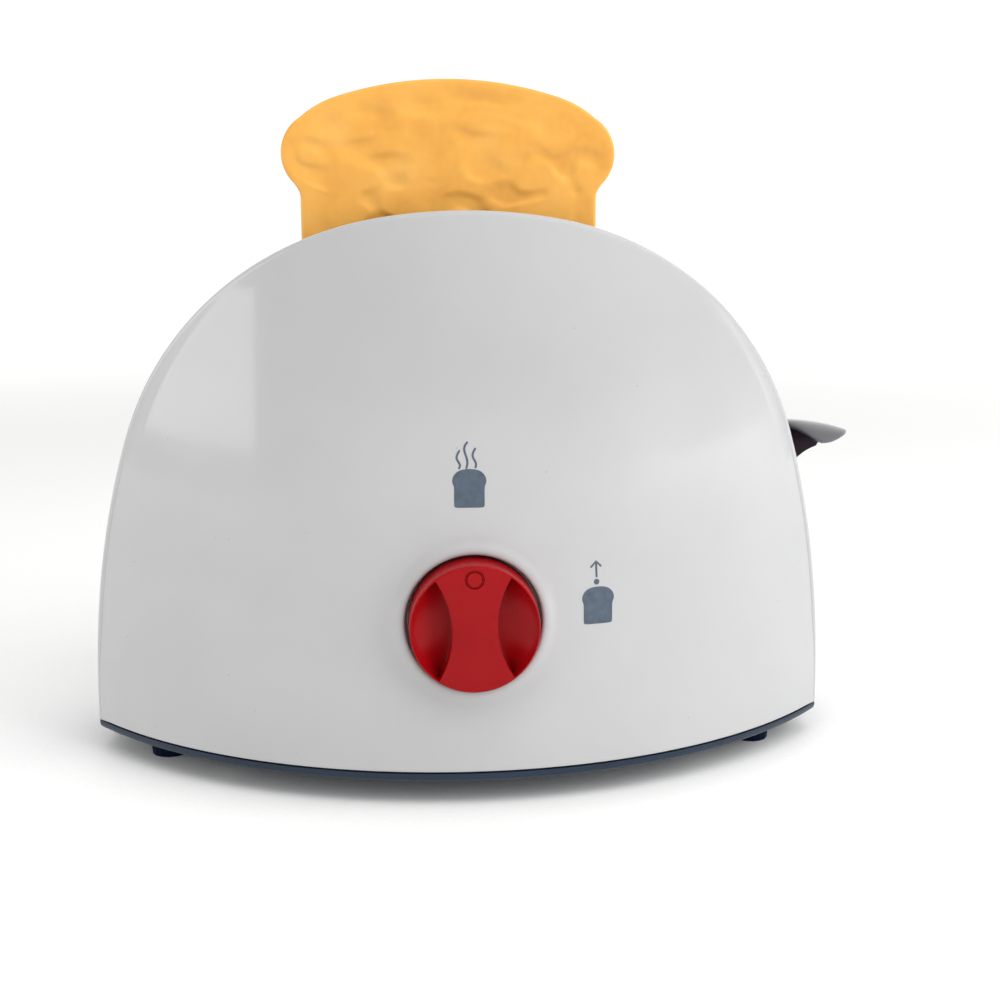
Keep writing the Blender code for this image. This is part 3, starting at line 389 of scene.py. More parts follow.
def toastFinish():
    # moulded polypropylene in toast yellow: satin, with soft warmer patches and fine drag lines
    made, tree, shader, where = newMaterial("satin polypropylene toast yellow", {
        "IOR": 1.49, "Roughness": 0.42, "Subsurface Weight": 0.12, "Subsurface Scale": 1.2 * mm,
        "Subsurface Radius": (1.0, 0.5, 0.2)})
    cloud = noiseOver(tree, where, 11, 3.0, Roughness=0.6)
    paint(tree, shader, cloud, [(0.32, "#dd9d42"), (0.52, "#e7a849"), (0.72, "#ebaf54")])
    lines = addNode(tree, "ShaderNodeTexWave", {"bands_direction": "X"},
                    {"Scale": 1 / (6 * mm), "Distortion": 2.5, "Detail": 1.0}, {"Vector": where})
    emboss(tree, shader, lines.outputs["Fac"], 0.25, 0.02)
    return made


def steelFinish():
    # zinc-plated steel: bright grey metal with a slight cloudiness
    made, tree, shader, where = newMaterial("zinc-plated steel", {"Metallic": 1.0, "Roughness": 0.3})
    cloud = noiseOver(tree, where, 1.5, 3.0)
    paint(tree, shader, cloud, [(0.3, "#a9aaa8"), (0.7, "#c9cac6")])
    roughen(tree, shader, cloud, 0.24, 0.36)
    return made


# the web is the lever's plastic with the shade under the leaf painted into its colour: a matt near-black plum that
# hardly reflects
webShadeFinish = grainedPlastic("lever web painted shade plum black", "#1c1019", "#24151f", 0.5, 0.6, 0.02,
                           {"Specular IOR Level": 0.15})
finishes = {
    "shell_grey": shellFinish(),
    "slate_plastic": grainedPlastic("semi-gloss ABS moulded slate blue", "#1d2938", "#223042", 0.34, 0.5, 0.02,
                                    {"Specular IOR Level": 0.25}),
    "foot_dark": grainedPlastic("matt ABS moulded navy black", "#081226", "#0b172e", 0.5, 0.4, 0.03,
                                {"Specular IOR Level": 0.05}),
    "lever_charcoal": grainedPlastic("glossy ABS moulded charcoal", "#58585c", "#606064", 0.12, 1.5, 0.004,
                                     {"Coat Weight": 0.3, "Coat Roughness": 0.05}),
    "knob_red": grainedPlastic("semi-gloss ABS moulded red", "#8e070d", "#980a10", 0.24, 1.1, 0.008,
                               {"Specular IOR Level": 0.13}),
    "toast_plastic": toastFinish(),
    "inner_white": grainedPlastic("matt acetal moulded off-white", "#dcdcd6", "#e4e4df", 0.45, 0.6, 0.015),
    "steel": steelFinish(),
}
for item in frame["record"]["subparts"]:
    for place in nodes[item["node"]].material_slots:
        place.material = finishes[item["material_slot"]]
print("finishes done")


# Front and rear covers: rings from the knob's well out to the arch, round its edge and back inside
cover = {
    "centre": (0.6, 38.7), "wall": 2, "edge": 1.2, "edgeShare": 0.9, "rimEdge": 0.35, "edgeSteps": 7,
    "arcSteps": (20, 46, 8), "faceRings": 24, "innerRings": 8, "rimPoints": 60, "middle": 1.0,
    "wellRadius": 13.9, "wellFloor": 45.4, "floorRings": (7.0, 10.5, 13.4), "floorEdge": 0.5, "mouthEdge": 0.4,
    "boreRadius": 3.8, "bearingRadius": 5.8, "bearingEnd": 38.8, "cupRadius": 15.5, "cupBack": 43.4,
    "leastSkin": 0.3, "rimLift": 0.4,
    "collar": [(13.92, 0.0), (13.98, 0.22), (14.15, 0.42), (14.45, 0.55), (14.85, 0.6), (15.3, 0.55),
               (15.8, 0.4), (16.3, 0.2), (16.8, 0.07), (17.4, 0.0)],
}


def coverSpokes():
    # where each spoke ends on the outline: (x, z, normal x, normal z, is it on the arch)
    arch = archOutline(*cover["arcSteps"])
    spokes = [(x, z, nx, nz, True) for x, z, nx, nz in arch]
    for step in range(1, cover["rimPoints"]):
        x = body["halfWidth"] * (2 * step / cover["rimPoints"] - 1)
        spokes.append((x, body["rim"], 0.0, -1.0, False))
    return spokes


def coverRings(side):
    u, v = cover["centre"]
    spokes = coverSpokes()
    aims = []
    for x, z, nx, nz, onArch in spokes:
        reach = math.hypot(x - u, z - v)
        aims.append(((x - u) / reach, (z - v) / reach))
    wall, edge, rimEdge = cover["wall"], cover["edge"], cover["rimEdge"]

    def at(x, z, depth):
        return (x, side * depth, z)

    def circleRing(radius, depth):
        return [at(u + radius * a, v + radius * b, depth) for a, b in aims]

    def onFace(radius, proud, inset=0.0):
        return [at(u + radius * a, v + radius * b, faceDepth(u + radius * a, v + radius * b, inset) + proud)
                for a, b in aims]

    def edgeRing(turn):
        # one ring of the soft outer edge, from 0 at the face to a right angle at the outline
        ring = []
        for x, z, nx, nz, onArch in spokes:
            if onArch:
                radius = min(edge, cover["edgeShare"] * (faceDepth(x, body["rim"]) - body["parting"]))
                back = radius * (1 - math.sin(turn))
                px, foot = x - nx * back, max(z - nz * back, body["rim"])
                face = faceDepth(x - nx * radius, z - nz * radius)
                ring.append(at(px, foot, face - radius * (1 - math.cos(turn))))
            else:
                pz = z + rimEdge * (1 - math.sin(turn))
                ring.append(at(x, pz, faceDepth(x, pz) - rimEdge * (1 - math.cos(turn))))
        return ring

    def innerPlace(x, z, nx, nz, onArch, lift):
        px = max(-body["halfWidth"] + wall, min(body["halfWidth"] - wall, x - nx * wall))
        pz = z - nz * wall if onArch else z + lift
        return px, pz

    def innerEdge(lift, depth=None):
        ring = []
        for x, z, nx, nz, onArch in spokes:
            px, pz = innerPlace(x, z, nx, nz, onArch, lift)
            skin = max(faceDepth(px, pz, wall), body["parting"] + cover["leastSkin"])
            ring.append(at(px, pz, depth if depth is not None and onArch else skin))
        return ring

    rings = []
    if side < 0:
        bore, well, floorAt = cover["boreRadius"], cover["wellRadius"], cover["wellFloor"]
        rings += [circleRing(bore, cover["bearingEnd"]), circleRing(bore, floorAt)]
        rings += [circleRing(radius, floorAt) for radius in cover["floorRings"]]
        rings.append(circleRing(well, floorAt + cover["floorEdge"]))
        rings.append(onFace(well, -cover["mouthEdge"]))
        rings += [onFace(radius, proud) for radius, proud in cover["collar"]]
        start = cover["collar"][-1][0]
    else:
        start = cover["middle"]
        rings.append(onFace(start, 0.0))
    first, last = onFace(start, 0.0), edgeRing(0.0)
    for step in range(1, cover["faceRings"]):
        share = step / cover["faceRings"]
        ring = []
        for a, b in zip(first, last):
            x, z = a[0] + (b[0] - a[0]) * share, a[2] + (b[2] - a[2]) * share
            ring.append(at(x, z, faceDepth(x, z)))
        rings.append(ring)
    for step in range(cover["edgeSteps"] + 1):
        rings.append(edgeRing(math.pi / 2 * step / cover["edgeSteps"]))
    outer = []
    for x, z, nx, nz, onArch in spokes:
        outer.append(at(x, z, body["parting"] if onArch else faceDepth(x, z) - wall / 2))
    rings += [outer, innerEdge(0.0, body["parting"]), innerEdge(0.0)]
    inside = cover["cupRadius"] if side < 0 else cover["middle"]
    first, last = onFace(inside, 0.0, wall), innerEdge(cover["rimLift"])
    for step in range(cover["innerRings"] + 1):
        share = 1 - step / cover["innerRings"]
        ring = []
        for a, b in zip(first, last):
            x, z = a[0] + (b[0] - a[0]) * share, a[2] + (b[2] - a[2]) * share
            ring.append(at(x, z, b[1] * side if step == 0 else faceDepth(x, z, wall)))
        rings.append(ring)
    if side < 0:
        cupBack, bearing, end = cover["cupBack"], cover["bearingRadius"], cover["bearingEnd"]
        rings += [circleRing(cover["cupRadius"], cupBack), circleRing(bearing, cupBack),
                  circleRing(bearing, end), circleRing(cover["boreRadius"], end)]
    return rings


frontCover = ringPiece("frontCover", coverRings(-1))
finishPiece(frontCover, "frontCover", "housing", finishes["shell_grey"], 32, ["front_shell"])
print("front cover", len(frontCover.data.polygons), "faces")

# The rear cover has four deep screw wells in posts
wells = {
    "places": [(-58.5, 83.0), (58.5, 83.0), (-70.0, 20.0), (70.0, 20.0)], "radius": 3.4, "post": 5.0,
    "neck": 4.0, "foot": 0.15, "seat": 9.0, "back": 7.0, "bore": 1.7, "sunk": 1.0, "past": 4.0, "around": 40,
}
rearCover = ringPiece("rearCover", coverRings(1), (True, True))
for x, z in wells["places"]:
    skin = faceDepth(x, z) - wells["sunk"]
    post = turned("post", "Y", (x, z), [
        (0.5, wells["foot"]), (wells["neck"], wells["foot"]), (wells["neck"], wells["back"]),
        (wells["post"], wells["back"]), (wells["post"], skin), (0.5, skin)], wells["around"])
    carve(rearCover, post, "UNION")
for x, z in wells["places"]:
    outside = faceDepth(x, z) + wells["past"]
    hole = turned("hole", "Y", (x, z), [
        (0.3, -1.0), (wells["bore"], -1.0), (wells["bore"], wells["seat"]),
        (wells["radius"], wells["seat"]), (wells["radius"], outside), (0.3, outside)], wells["around"])
    carve(rearCover, hole)
finishPiece(rearCover, "rearCover", "housing", finishes["shell_grey"], 32, ["rear_shell"])
print("rear cover", len(rearCover.data.polygons), "faces")

# The red knob: a disc with two finger hollows that leave a waisted grip
knob = {
    "centre": (0.6, 38.7), "back": 45.7, "front": 54.2, "radius": 13.3, "frontRadius": 13.05,
    "edge": 0.3, "backEdge": 0.4, "around": 128, "hollowRim": 12.7, "hollowSide": 19.1, "hollowAside": 23.6,
    "hollowSteps": 24, "hollowRings": 14, "floor": 50.2, "rimDeep": 0.5, "proud": 0.6, "outside": -60.0,
    "lip": 0.12, "lipTurn": 50, "tilt": 1.8, "markerAcross": 0.25, "markerUp": 10.2, "markerRadius": 1.7,
    "markerWidth": 0.55, "markerDeep": 0.45, "markerFoot": 0.1, "markerProud": 0.05,
}


def knobPlace(u, v):
    # a place on the knob's front, turned by its tilt
    a, (centreX, centreZ) = knob["tilt"] * degree, knob["centre"]
    return (centreX + u * math.cos(a) - v * math.sin(a), centreZ + u * math.sin(a) + v * math.cos(a))


def hollowRing(side, share):
    # the lens between the rim's circle and the grip's circle; share moves the rim's side over to the grip
    rim, flank, aside, steps = knob["hollowRim"], knob["hollowSide"], knob["hollowAside"], knob["hollowSteps"]
    meet = (aside ** 2 + rim ** 2 - flank ** 2) / (2 * aside)
    up = math.sqrt(rim ** 2 - meet ** 2)
    heights = [up * math.sin(math.pi / 2 * (2 * s / steps - 1)) for s in range(steps + 1)]
    ring = []
    for v in heights:
        outer, inner = math.sqrt(rim ** 2 - v ** 2), aside - math.sqrt(flank ** 2 - v ** 2)
        ring.append((side * (outer + (inner - outer) * share), v))
    return ring + [(side * (aside - math.sqrt(flank ** 2 - v ** 2)), v) for v in reversed(heights[1:-1])]


front, back, edge = -knob["front"], -knob["back"], knob["edge"]
profile = [(0.3, back), (knob["radius"] - knob["backEdge"], back), (knob["radius"], back - knob["backEdge"])]
profile += [(knob["frontRadius"] - edge + edge * math.cos(a * degree), front + edge - edge * math.sin(a * degree))
            for a in (0, 15, 30, 45, 60, 75, 90)]
profile += [(r, front) for r in (9.0, 5.0, 1.0)]
turningKnob = turned("turningKnob", "Y", knob["centre"], profile, knob["around"])
for side in (-1, 1):
    # the hollow's floor starts just under the rim and dips towards the grip; two more rings stand outside the knob
    deep, rings = knob["front"] - knob["floor"], []
    for step in range(-2, knob["hollowRings"] + 1):
        share = max(step, 0) / knob["hollowRings"]
        dip = knob["rimDeep"] + (deep - knob["rimDeep"]) * math.sin(math.pi / 2 * share) ** 0.8
        ring = []
        for index, (u, v) in enumerate(hollowRing(side, share)):
            x, z = knobPlace(u, v)
            if step == -2:
                depth = knob["outside"]
            elif step == -1:
                depth = front - knob["proud"]
            else:
                depth = front + (dip if index <= knob["hollowSteps"] else deep)
            ring.append((x, depth, z))
        rings.append(ring)
    carve(turningKnob, ringPiece("hollow", rings, (True, False)))
bpy.context.view_layer.objects.active = turningKnob
lip = turningKnob.modifiers.new("lip", "BEVEL")
lip.width, lip.segments = knob["lip"] * mm, 3
lip.limit_method, lip.angle_limit = "ANGLE", knob["lipTurn"] * degree
bpy.ops.object.modifier_apply(modifier="lip")
# the marker is a ring-shaped groove on the grip
u, v = knobPlace(knob["markerAcross"], knob["markerUp"])
r, w, foot = knob["markerRadius"], knob["markerWidth"] / 2, knob["markerFoot"]
top, bottom = front + knob["markerProud"], front + knob["markerDeep"]
groove = turned("groove", "Y", (u, v), [
    (r + w, knob["outside"]), (r + w, top), (r + foot, bottom), (r - foot, bottom),
    (r - w, top), (r - w, knob["outside"]), (r + w, knob["outside"])], 40, (False, False))
carve(turningKnob, groove)
finishPiece(turningKnob, "turningKnob", "knob", finishes["knob_red"], 30, ["control_knob"])
print("knob", len(turningKnob.data.polygons), "faces")

# Two play slices of toast: a slab with a soft edge and broad dents pressed into both sides
toast = {
    "middle": -2.4, "hub": 110.0, "top": 148.5, "bottom": 71.0, "thick": 7.0, "aside": 6.5, "neckHalf": 32.3,
    "crownRadius": 80.0, "crownTurn": 17.5, "earRadius": 8.85, "earAside": 27.45, "earHeight": 132.8,
    "earEnd": -46.0, "neckTop": 125.1, "fillet": 1.6, "foot": 2.0, "edge": 0.75, "edgeTurns": (0, 22, 45, 68, 90),
    "inset": 1.6, "rings": 64, "dent": 0.55, "dentWide": 6.5, "dentTall": 4.8, "rim": 1.2, "margin": 3.5,
    "warpSize": 14, "warp": 4.0, "swellWide": 12, "swellTall": 10, "swell": 0.35, "level": 0.02, "slope": 0.34,
    "lean": 1.2, "swing": 0.8,
}


def toastOutline():
    # the slice's outline from the foot, up the right side, over the crown and down, as (x, z)
    t = toast
    foot, filletLow = t["bottom"] + t["foot"], t["neckTop"] - t["fillet"]
    right = [(s * (t["neckHalf"] - t["foot"]) / 10, t["bottom"]) for s in range(10)]
    right += roundCorner(t["neckHalf"] - t["foot"], foot, t["foot"], -90, 6)
    right += [(t["neckHalf"], foot + (filletLow - t["bottom"] - t["foot"]) * s / 30) for s in range(1, 30)]
    # the neck runs out under the ear on a small soft fillet
    right += [(t["neckHalf"], filletLow), (t["neckHalf"] + 0.12, t["neckTop"] - 0.7),
              (t["neckHalf"] + 0.5, t["neckTop"] + 0.2)]
    turns = [(t["earEnd"] + 4 * s) * degree for s in range(27)]
    ear = [(t["earAside"] + t["earRadius"] * math.cos(a), t["earHeight"] + t["earRadius"] * math.sin(a))
           for a in turns]
    right += [point for point in ear if point[1] > t["neckTop"] + 0.6]
    centre = t["top"] - t["crownRadius"]
    turns = [(t["crownTurn"] - 1.75 * s) * degree for s in range(10)]
    crown = [(t["crownRadius"] * math.sin(a), centre + t["crownRadius"] * math.cos(a)) for a in turns]
    # a slight bulge joins the ear and the crown
    last, first = right[-1], crown[0]
    for share in (0.2, 0.4, 0.6, 0.8):
        bulge = 2.2 * share * (1 - share)
        right.append((last[0] + (first[0] - last[0]) * share + bulge * 0.5,
                      last[1] + (first[1] - last[1]) * share + bulge * 0.7))
    right += crown
    right.append((0.0, t["top"]))
    return [(x + t["middle"], z) for x, z in right] + [(t["middle"] - x, z) for x, z in reversed(right[1:-1])]


def makeSlice(name, bodyName, y, replacedNode, seed):
    outline = toastOutline()
    hub = (toast["middle"], toast["hub"])
    half, edge, inset = toast["thick"] / 2, toast["edge"], toast["inset"]

    def ringAt(share, inset, depth):
        ring = []
        for x, z in outline:
            reach = math.hypot(x - hub[0], z - hub[1])
            scale = (reach - inset) * share / reach
            ring.append((hub[0] + (x - hub[0]) * scale, y + depth, hub[1] + (z - hub[1]) * scale))
        return ring

    def softEdge(face, turns):
        return [ringAt(1, edge * (1 - math.sin(a * degree)), face * (half - edge * (1 - math.cos(a * degree))))
                for a in turns]

    steps = [s / toast["rings"] for s in range(1, toast["rings"])]
    rings = [ringAt(share, inset, -half) for share in steps + [1]] + softEdge(-1, toast["edgeTurns"])
    rings += [ringAt(1, 0, 0)] + softEdge(1, toast["edgeTurns"][::-1])
    rings += [ringAt(share, inset, half) for share in [1] + steps[::-1]]
    made = ringPiece("playToast", rings, (True, True))
    # dents: smooth hollows of a few millimetres, which fade out near the edge
    for vert in made.data.vertices:
        place = (vert.co - bodyShift) / mm
        x, depth, z = place.x, place.y - y, place.z
        if abs(depth) < half - 0.01:
            continue
        ring = min(math.hypot(px - x, pz - z) for px, pz in outline)
        fade = min(max((ring - toast["rim"]) / toast["margin"], 0.0), 1.0)
        warp = noise.noise(Vector((x / toast["warpSize"], z / toast["warpSize"], seed + 3.1))) * toast["warp"]
        wave = noise.noise(Vector(((x + warp) / toast["dentWide"], seed + (5 if depth > 0 else 0),
                                   (z - warp) / toast["dentTall"])))
        swell = noise.noise(Vector((x / toast["swellWide"], seed + 9, z / toast["swellTall"])))
        hollow = min(max((wave + toast["swell"] * swell + toast["level"]) / toast["slope"], 0.0), 1.0)
        hollow = hollow * hollow * (3 - 2 * hollow) + toast["swell"] * swell
        vert.co.y -= math.copysign(toast["dent"] * hollow * fade * mm, depth)
    # each slice leans back a little in its slot, as a loose piece does
    place = toFrame(toast["middle"], y, toast["hub"])
    lean = Matrix.Rotation(-toast["lean"] * degree, 4, "X") @ Matrix.Rotation(-toast["swing"] * degree, 4, "Z")
    made.data.transform(Matrix.Translation(place) @ lean @ Matrix.Translation(-place))
    finishPiece(made, name, bodyName, finishes["toast_plastic"], 50, [replacedNode])


makeSlice("playToastFront", "slice_front", -toast["aside"], "toast_front", 2.0)
makeSlice("playToastRear", "slice_rear", toast["aside"], "toast_rear", 7.0)
print("slices of toast done")

# The push-down lever: a thin drooping leaf with a web under it, on the carriage's blade; the web is painted
# near-black as the shade under the leaf
lever = {
    "root": 73.8, "tip": 92.0, "top": 72.85, "flareAt": 76.2, "widestAt": 83.2, "halfWidth": 8.5, "rootHalf": 2.5,
    "thick": 2.2, "droop": 2.6, "sideDroop": 2.9, "power": 1.6, "noseShare": 0.4, "steps": 30, "around": 36,
    "bladeStart": 52.0, "bladeEnd": 77.5, "bladeLow": 61.0, "bladeHigh": 71.4, "bladeHalf": 1.4, "soften": 0.25,
    "web": [(80.4, 64.1), (81.8, 65.2), (83.2, 66.0), (84.6, 66.6), (85.2, 67.6), (85.0, 69.6), (80.0, 71.0)],
}


def leverHalf(x):
    # half the leaf's width at a distance along it
    if x <= lever["widestAt"]:
        share = max((x - lever["flareAt"]) / (lever["widestAt"] - lever["flareAt"]), 0.0)
        ease = 0.6 * share + 0.4 * share * share * (3 - 2 * share)
        return lever["rootHalf"] + (lever["halfWidth"] - lever["rootHalf"]) * ease
    share = (x - lever["widestAt"]) / (lever["tip"] - lever["widestAt"])
    return lever["halfWidth"] * max(1 - share ** lever["power"], 0.0) ** (1 / lever["power"])


def leverRing(x):
    # a section of the leaf, which droops to both sides and has a soft thin edge
    share = max((x - lever["root"]) / (lever["tip"] - lever["root"]), 0.0)
    close = max((x - lever["widestAt"]) / (lever["tip"] - lever["widestAt"]), 0.0)
    thick = lever["thick"] * (1 - (1 - lever["noseShare"]) * close ** 2) * min(0.6 + 0.6 * share, 1.0)
    half, ring = leverHalf(x), []
    for step in range(lever["around"]):
        a = 2 * math.pi * (step + 0.5) / lever["around"]
        across = math.copysign(abs(math.cos(a)) ** 0.6, math.cos(a)) * half
        up = math.copysign(abs(math.sin(a)) ** 0.75, math.sin(a)) * thick / 2
        droop = lever["droop"] * share ** 2.6 + lever["sideDroop"] * (across / lever["halfWidth"]) ** 2
        ring.append((x, across, lever["top"] - thick / 2 - droop + up))
    return ring


places = [lever["root"] + (lever["tip"] - lever["root"]) * math.sin(math.pi / 2 * s / lever["steps"])
          for s in range(lever["steps"])]
places.append(lever["tip"] - 0.01)
leverLeaf = ringPiece("leverLeaf", [leverRing(x) for x in places], (True, True))
finishPiece(leverLeaf, "leverLeaf", "carriage", finishes["lever_charcoal"], 40, ["lever_paddle"])
outline = [(lever["bladeStart"], lever["bladeLow"]), (lever["bladeEnd"], lever["bladeLow"])] + lever["web"]
outline.append((lever["bladeStart"], lever["bladeHigh"]))
sides = (-lever["bladeHalf"], lever["bladeHalf"])
leverWeb = ringPiece("leverWeb", [[(x, y, z) for x, z in outline] for y in sides], (True, True))
soften = leverWeb.modifiers.new("soften", "BEVEL")
soften.width, soften.segments = lever["soften"] * mm, 2
soften.limit_method, soften.angle_limit = "ANGLE", 60 * degree
# the web and the blade behind it get the painted shade finish, not the lever's own grey
finishPiece(leverWeb, "leverWeb", "carriage", webShadeFinish, 40)
print("lever", len(leverLeaf.data.polygons), "faces")

# Two small printed signs on the face: toast with steam above the knob, toast pushed up beside it
signs = {
    "outline": [(0, 0), (2.35, 0), (3.0, 0.12), (3.05, 0.85), (3.03, 4.0), (3.15, 4.5), (3.42, 5.1), (3.36, 5.9),
                (2.9, 6.8), (2.0, 7.45), (1.0, 7.7), (0, 7.75)],
    "toast": (-0.15, 62.15), "eject": (26.2, 37.2), "middle": 3.9, "top": 7.75, "line": 0.42, "proud": 0.03,
    "sunk": 0.06, "dot": (-0.35, 8.75, 0.6), "dotSteps": 24,
    "steam": [[(-2.0, 0.15), (-1.75, 0.75), (-2.15, 1.45), (-2.55, 2.15), (-2.35, 2.9), (-1.95, 3.6)],
              [(-0.55, 0.2), (-0.3, 1.15), (-0.45, 2.1), (-0.8, 3.05), (-1.0, 3.95), (-0.85, 4.65), (-0.4, 5.25)],
              [(1.25, 0.3), (1.4, 0.9), (1.2, 1.5), (0.8, 2.15), (0.65, 2.8), (0.85, 3.4), (1.2, 4.0)]],
    "arrow": [[(-0.35, 9.85), (-0.5, 12.95)], [(-1.5, 11.9), (-0.5, 12.98), (0.5, 12.0)]],
}


def smoothed(points, closed, times=2):
    # rounds a line by cutting its corners
    for _ in range(times):
        cut = []
        last = len(points) if closed else len(points) - 1
        for index in range(last):
            (ax, az), (bx, bz) = points[index], points[(index + 1) % len(points)]
            cut += [(ax * 0.75 + bx * 0.25, az * 0.75 + bz * 0.25), (ax * 0.25 + bx * 0.75, az * 0.25 + bz * 0.75)]
        points = cut if closed else [points[0]] + cut + [points[-1]]
    return points


def onFront(x, z, proud):
    return (x, -(faceDepth(x, z) + proud), z)


def printedPatch(name, outline, middle):
    # a filled shape that hugs the curved face
    cx, cz = middle
    rings = [[onFront(cx + (x - cx) * share, cz + (z - cz) * share, signs["proud"]) for x, z in outline]
             for share in (0.02, 0.35, 0.7, 1.0)]
    rings.append([onFront(x, z, -signs["sunk"]) for x, z in outline])
    return ringPiece(name, rings, (True, True))


def printedLine(name, points):
    # an ink line with round ends
    half, proud, sunk = signs["line"] / 2, signs["proud"], -signs["sunk"]
    rings = []
    ends = [(-half, 0.2), (-0.7 * half, 0.72)]
    for index, (x, z) in enumerate(points):
        ax, az = points[max(index - 1, 0)]
        bx, bz = points[min(index + 1, len(points) - 1)]
        reach = math.hypot(bx - ax, bz - az)
        dx, dz = (bx - ax) / reach, (bz - az) / reach
        stops = [(0, 1.0)]
        if index == 0:
            stops = ends + stops
        if index == len(points) - 1:
            stops = stops + [(-along, wide) for along, wide in reversed(ends)]
        for along, wide in stops:
            px, pz, w = x + dx * along, z + dz * along, half * wide
            rings.append([onFront(px - dz * w * s, pz + dx * w * s, level)
                          for s, level in ((1, proud), (-1, proud), (-1, sunk), (1, sunk))])
    return ringPiece(name, rings, (True, True))


def printedSign(name, place, lines, dots):
    cx, cz = place
    half = signs["outline"]
    corners = [(cx + x, cz + z) for x, z in half] + [(cx - x, cz + z) for x, z in reversed(half[1:-1])]
    parts = [printedPatch(name, smoothed(corners, True), (cx, cz + signs["middle"]))]
    for dx, dz, radius in dots:
        turns = [a * 15 * degree for a in range(signs["dotSteps"])]
        circle = [(cx + dx + radius * math.cos(a), cz + dz + radius * math.sin(a)) for a in turns]
        parts.append(printedPatch("dot", circle, (cx + dx, cz + dz)))
    for line, soft in lines:
        points = [(cx + x, cz + z) for x, z in line]
        parts.append(printedLine("line", smoothed(points, False) if soft else points))
    deselectAll()
    for part in parts:
        part.select_set(True)
    bpy.context.view_layer.objects.active = parts[0]
    bpy.ops.object.join()
    finishPiece(parts[0], name, "housing", signInk, 30)


def inkFinish():
    # pad-printed slate ink: flat and thin, a little uneven where the pad pressed less
    made, tree, shader, where = newMaterial("pad-printed slate ink", {
        "IOR": 1.5, "Roughness": 0.36, "Specular IOR Level": 0.3})
    cloud = noiseOver(tree, where, 1.6, 3.0)
    paint(tree, shader, cloud, [(0.3, "#48535f"), (0.7, "#545f6e")])
    emboss(tree, shader, cloud, 0.3, 0.01)
    return made


signInk = inkFinish()
steam = [([(x, z + signs["top"]) for x, z in line], True) for line in signs["steam"]]
arrow = [(line, False) for line in signs["arrow"]]
printedSign("printedToast", signs["toast"], steam, [])
printedSign("printedEject", signs["eject"], arrow, [signs["dot"]])
print("printed signs done")

# Pan-head screws with a cross recess: one is modelled for the back and one for the underside, and copied
screw = {
    "shank": 1.4, "point": 1.2, "dome": 0.9, "domePower": 0.55, "caseHead": 3.1, "caseTall": 2.6, "baseHead": 2.7,
    "baseTall": 1.6, "recessLong": 1.75, "recessWide": 0.42, "recessDeep": 1.3,
}


def makeScrew(name, axis, node, headRadius, headTall, outward):
    # outward is +1 where the head faces +Y, and -1 where it faces the floor
    low, high = [(Vector(corner) - bodyShift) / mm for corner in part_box(node)]
    if axis == "Y":
        centre, tip, top = ((low.x + high.x) / 2, (low.z + high.z) / 2), low.y, high.y
    else:
        centre, tip, top = ((low.x + high.x) / 2, (low.y + high.y) / 2), high.z, low.z
    seat = top - outward * headTall
    profile = [(0.2, tip), (0.7, tip), (screw["shank"], tip + outward * screw["point"]), (screw["shank"], seat),
               (headRadius - 0.1, seat), (headRadius, seat + outward * 0.15)]
    for a in range(0, 90, 10):
        profile.append((headRadius * math.cos(a * degree) ** screw["domePower"],
                        top - outward * screw["dome"] * (1 - math.sin(a * degree))))
    profile.append((0.15, top))
    made = turned(name, axis, centre, profile, 40)
    reach, across = screw["recessLong"], screw["recessWide"]
    ends = ((top + outward * 0.6, reach + 0.3, across + 0.12),
            (top - outward * screw["recessDeep"], reach * 0.5, across * 0.6))
    for turn in (0, 1):
        rings = []
        for depth, long, wide in ends:
            corners = [(long, wide), (-long, wide), (-long, -wide), (long, -wide)]
            if turn:
                corners = [(-v, u) for u, v in corners]
            if axis == "Y":
                rings.append([(centre[0] + u, depth, centre[1] + v) for u, v in corners])
            else:
                rings.append([(centre[0] + u, centre[1] + v, depth) for u, v in corners])
        carve(made, ringPiece("recess", rings, (True, True)))
    return finishPiece(made, name, "housing", finishes["steel"], 30, [node])


def copyTo(made, name, node, bodyName):
    # a copy with its own mesh, moved from the first one's node to its own
    shift = Vector(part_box(node)[0]) - Vector(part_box(made["standsAt"])[0])
    deselectAll()
    copied = made.copy()
    copied.data = made.data.copy()
    bpy.context.scene.collection.objects.link(copied)
    copied.location = shift
    return finishPiece(copied, name, bodyName, made.data.materials[0], 30, [node])


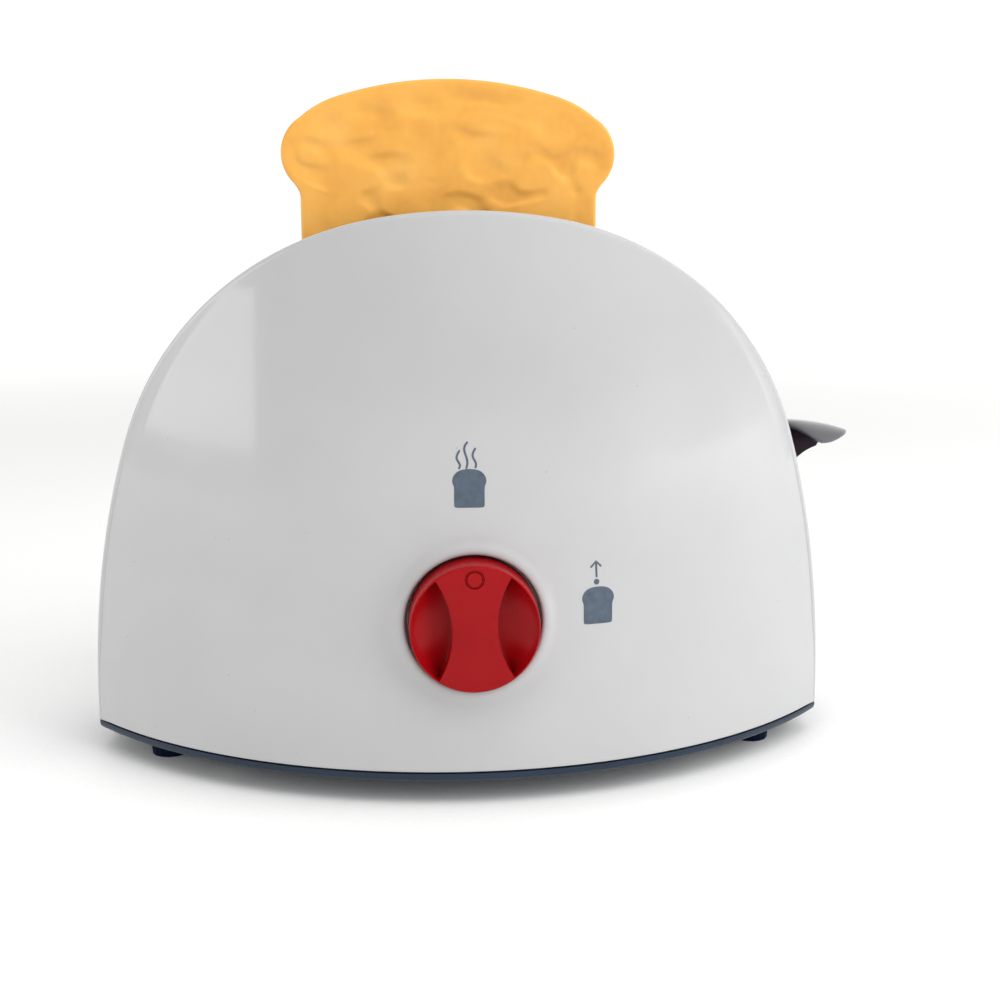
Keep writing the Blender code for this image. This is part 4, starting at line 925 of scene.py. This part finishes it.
firstCase = makeScrew("caseScrewUpperLeft", "Y", "case_screw_upper_left", screw["caseHead"], screw["caseTall"], 1)
firstBase = makeScrew("baseScrewFrontLeft", "Z", "base_screw_front_left", screw["baseHead"], screw["baseTall"], -1)
firstCase["standsAt"], firstBase["standsAt"] = "case_screw_upper_left", "base_screw_front_left"
copies = (
    (firstCase, "caseScrewUpperRight", "case_screw_upper_right"),
    (firstCase, "caseScrewLowerLeft", "case_screw_lower_left"),
    (firstCase, "caseScrewLowerRight", "case_screw_lower_right"),
    (firstBase, "baseScrewFrontRight", "base_screw_front_right"),
    (firstBase, "baseScrewRearLeft", "base_screw_rear_left"),
    (firstBase, "baseScrewRearRight", "base_screw_rear_right"),
)
for first, name, node in copies:
    copyTo(first, name, node, "housing")
print("screws done")

# Two lift springs: bright wire coils round the rods, built at one fixed length between the ends of their nodes
spring = {
    "radius": 3.0, "wire": 0.4, "turns": 10, "perTurn": 28, "around": 8, "flatTurns": 0.8, "even": 0.96,
    "flat": 0.04, "foot": 13.3, "travel": 28,
}


def makeSpring(name, node):
    low, high = [(Vector(corner) - bodyShift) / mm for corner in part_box(node)]
    centreX, centreY = (low.x + high.x) / 2, (low.y + high.y) / 2
    start, end = low.z + spring["wire"], high.z - spring["wire"]
    count = spring["turns"] * spring["perTurn"]
    rings = []
    for step in range(count + 1):
        turn = step / spring["perTurn"]
        # the first and last coils lie nearly flat
        share = min(max((turn - spring["flatTurns"]) / (spring["turns"] - 2 * spring["flatTurns"]), 0.0), 1.0)
        height = start + (end - start) * (spring["even"] * share + spring["flat"] * turn / spring["turns"])
        a = 2 * math.pi * turn
        ring = []
        for around in range(spring["around"]):
            b = 2 * math.pi * around / spring["around"]
            out = spring["radius"] + spring["wire"] * math.cos(b)
            ring.append((centreX + out * math.cos(a), centreY + out * math.sin(a),
                         height + spring["wire"] * math.sin(b)))
        rings.append(ring)
    made = ringPiece(name, rings, (True, True))
    finishPiece(made, name, "housing", finishes["steel"], 60, [node])
    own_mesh(made)


makeSpring("liftSpringLeft", "lift_spring_left")
makeSpring("liftSpringRight", "lift_spring_right")
print("springs done")
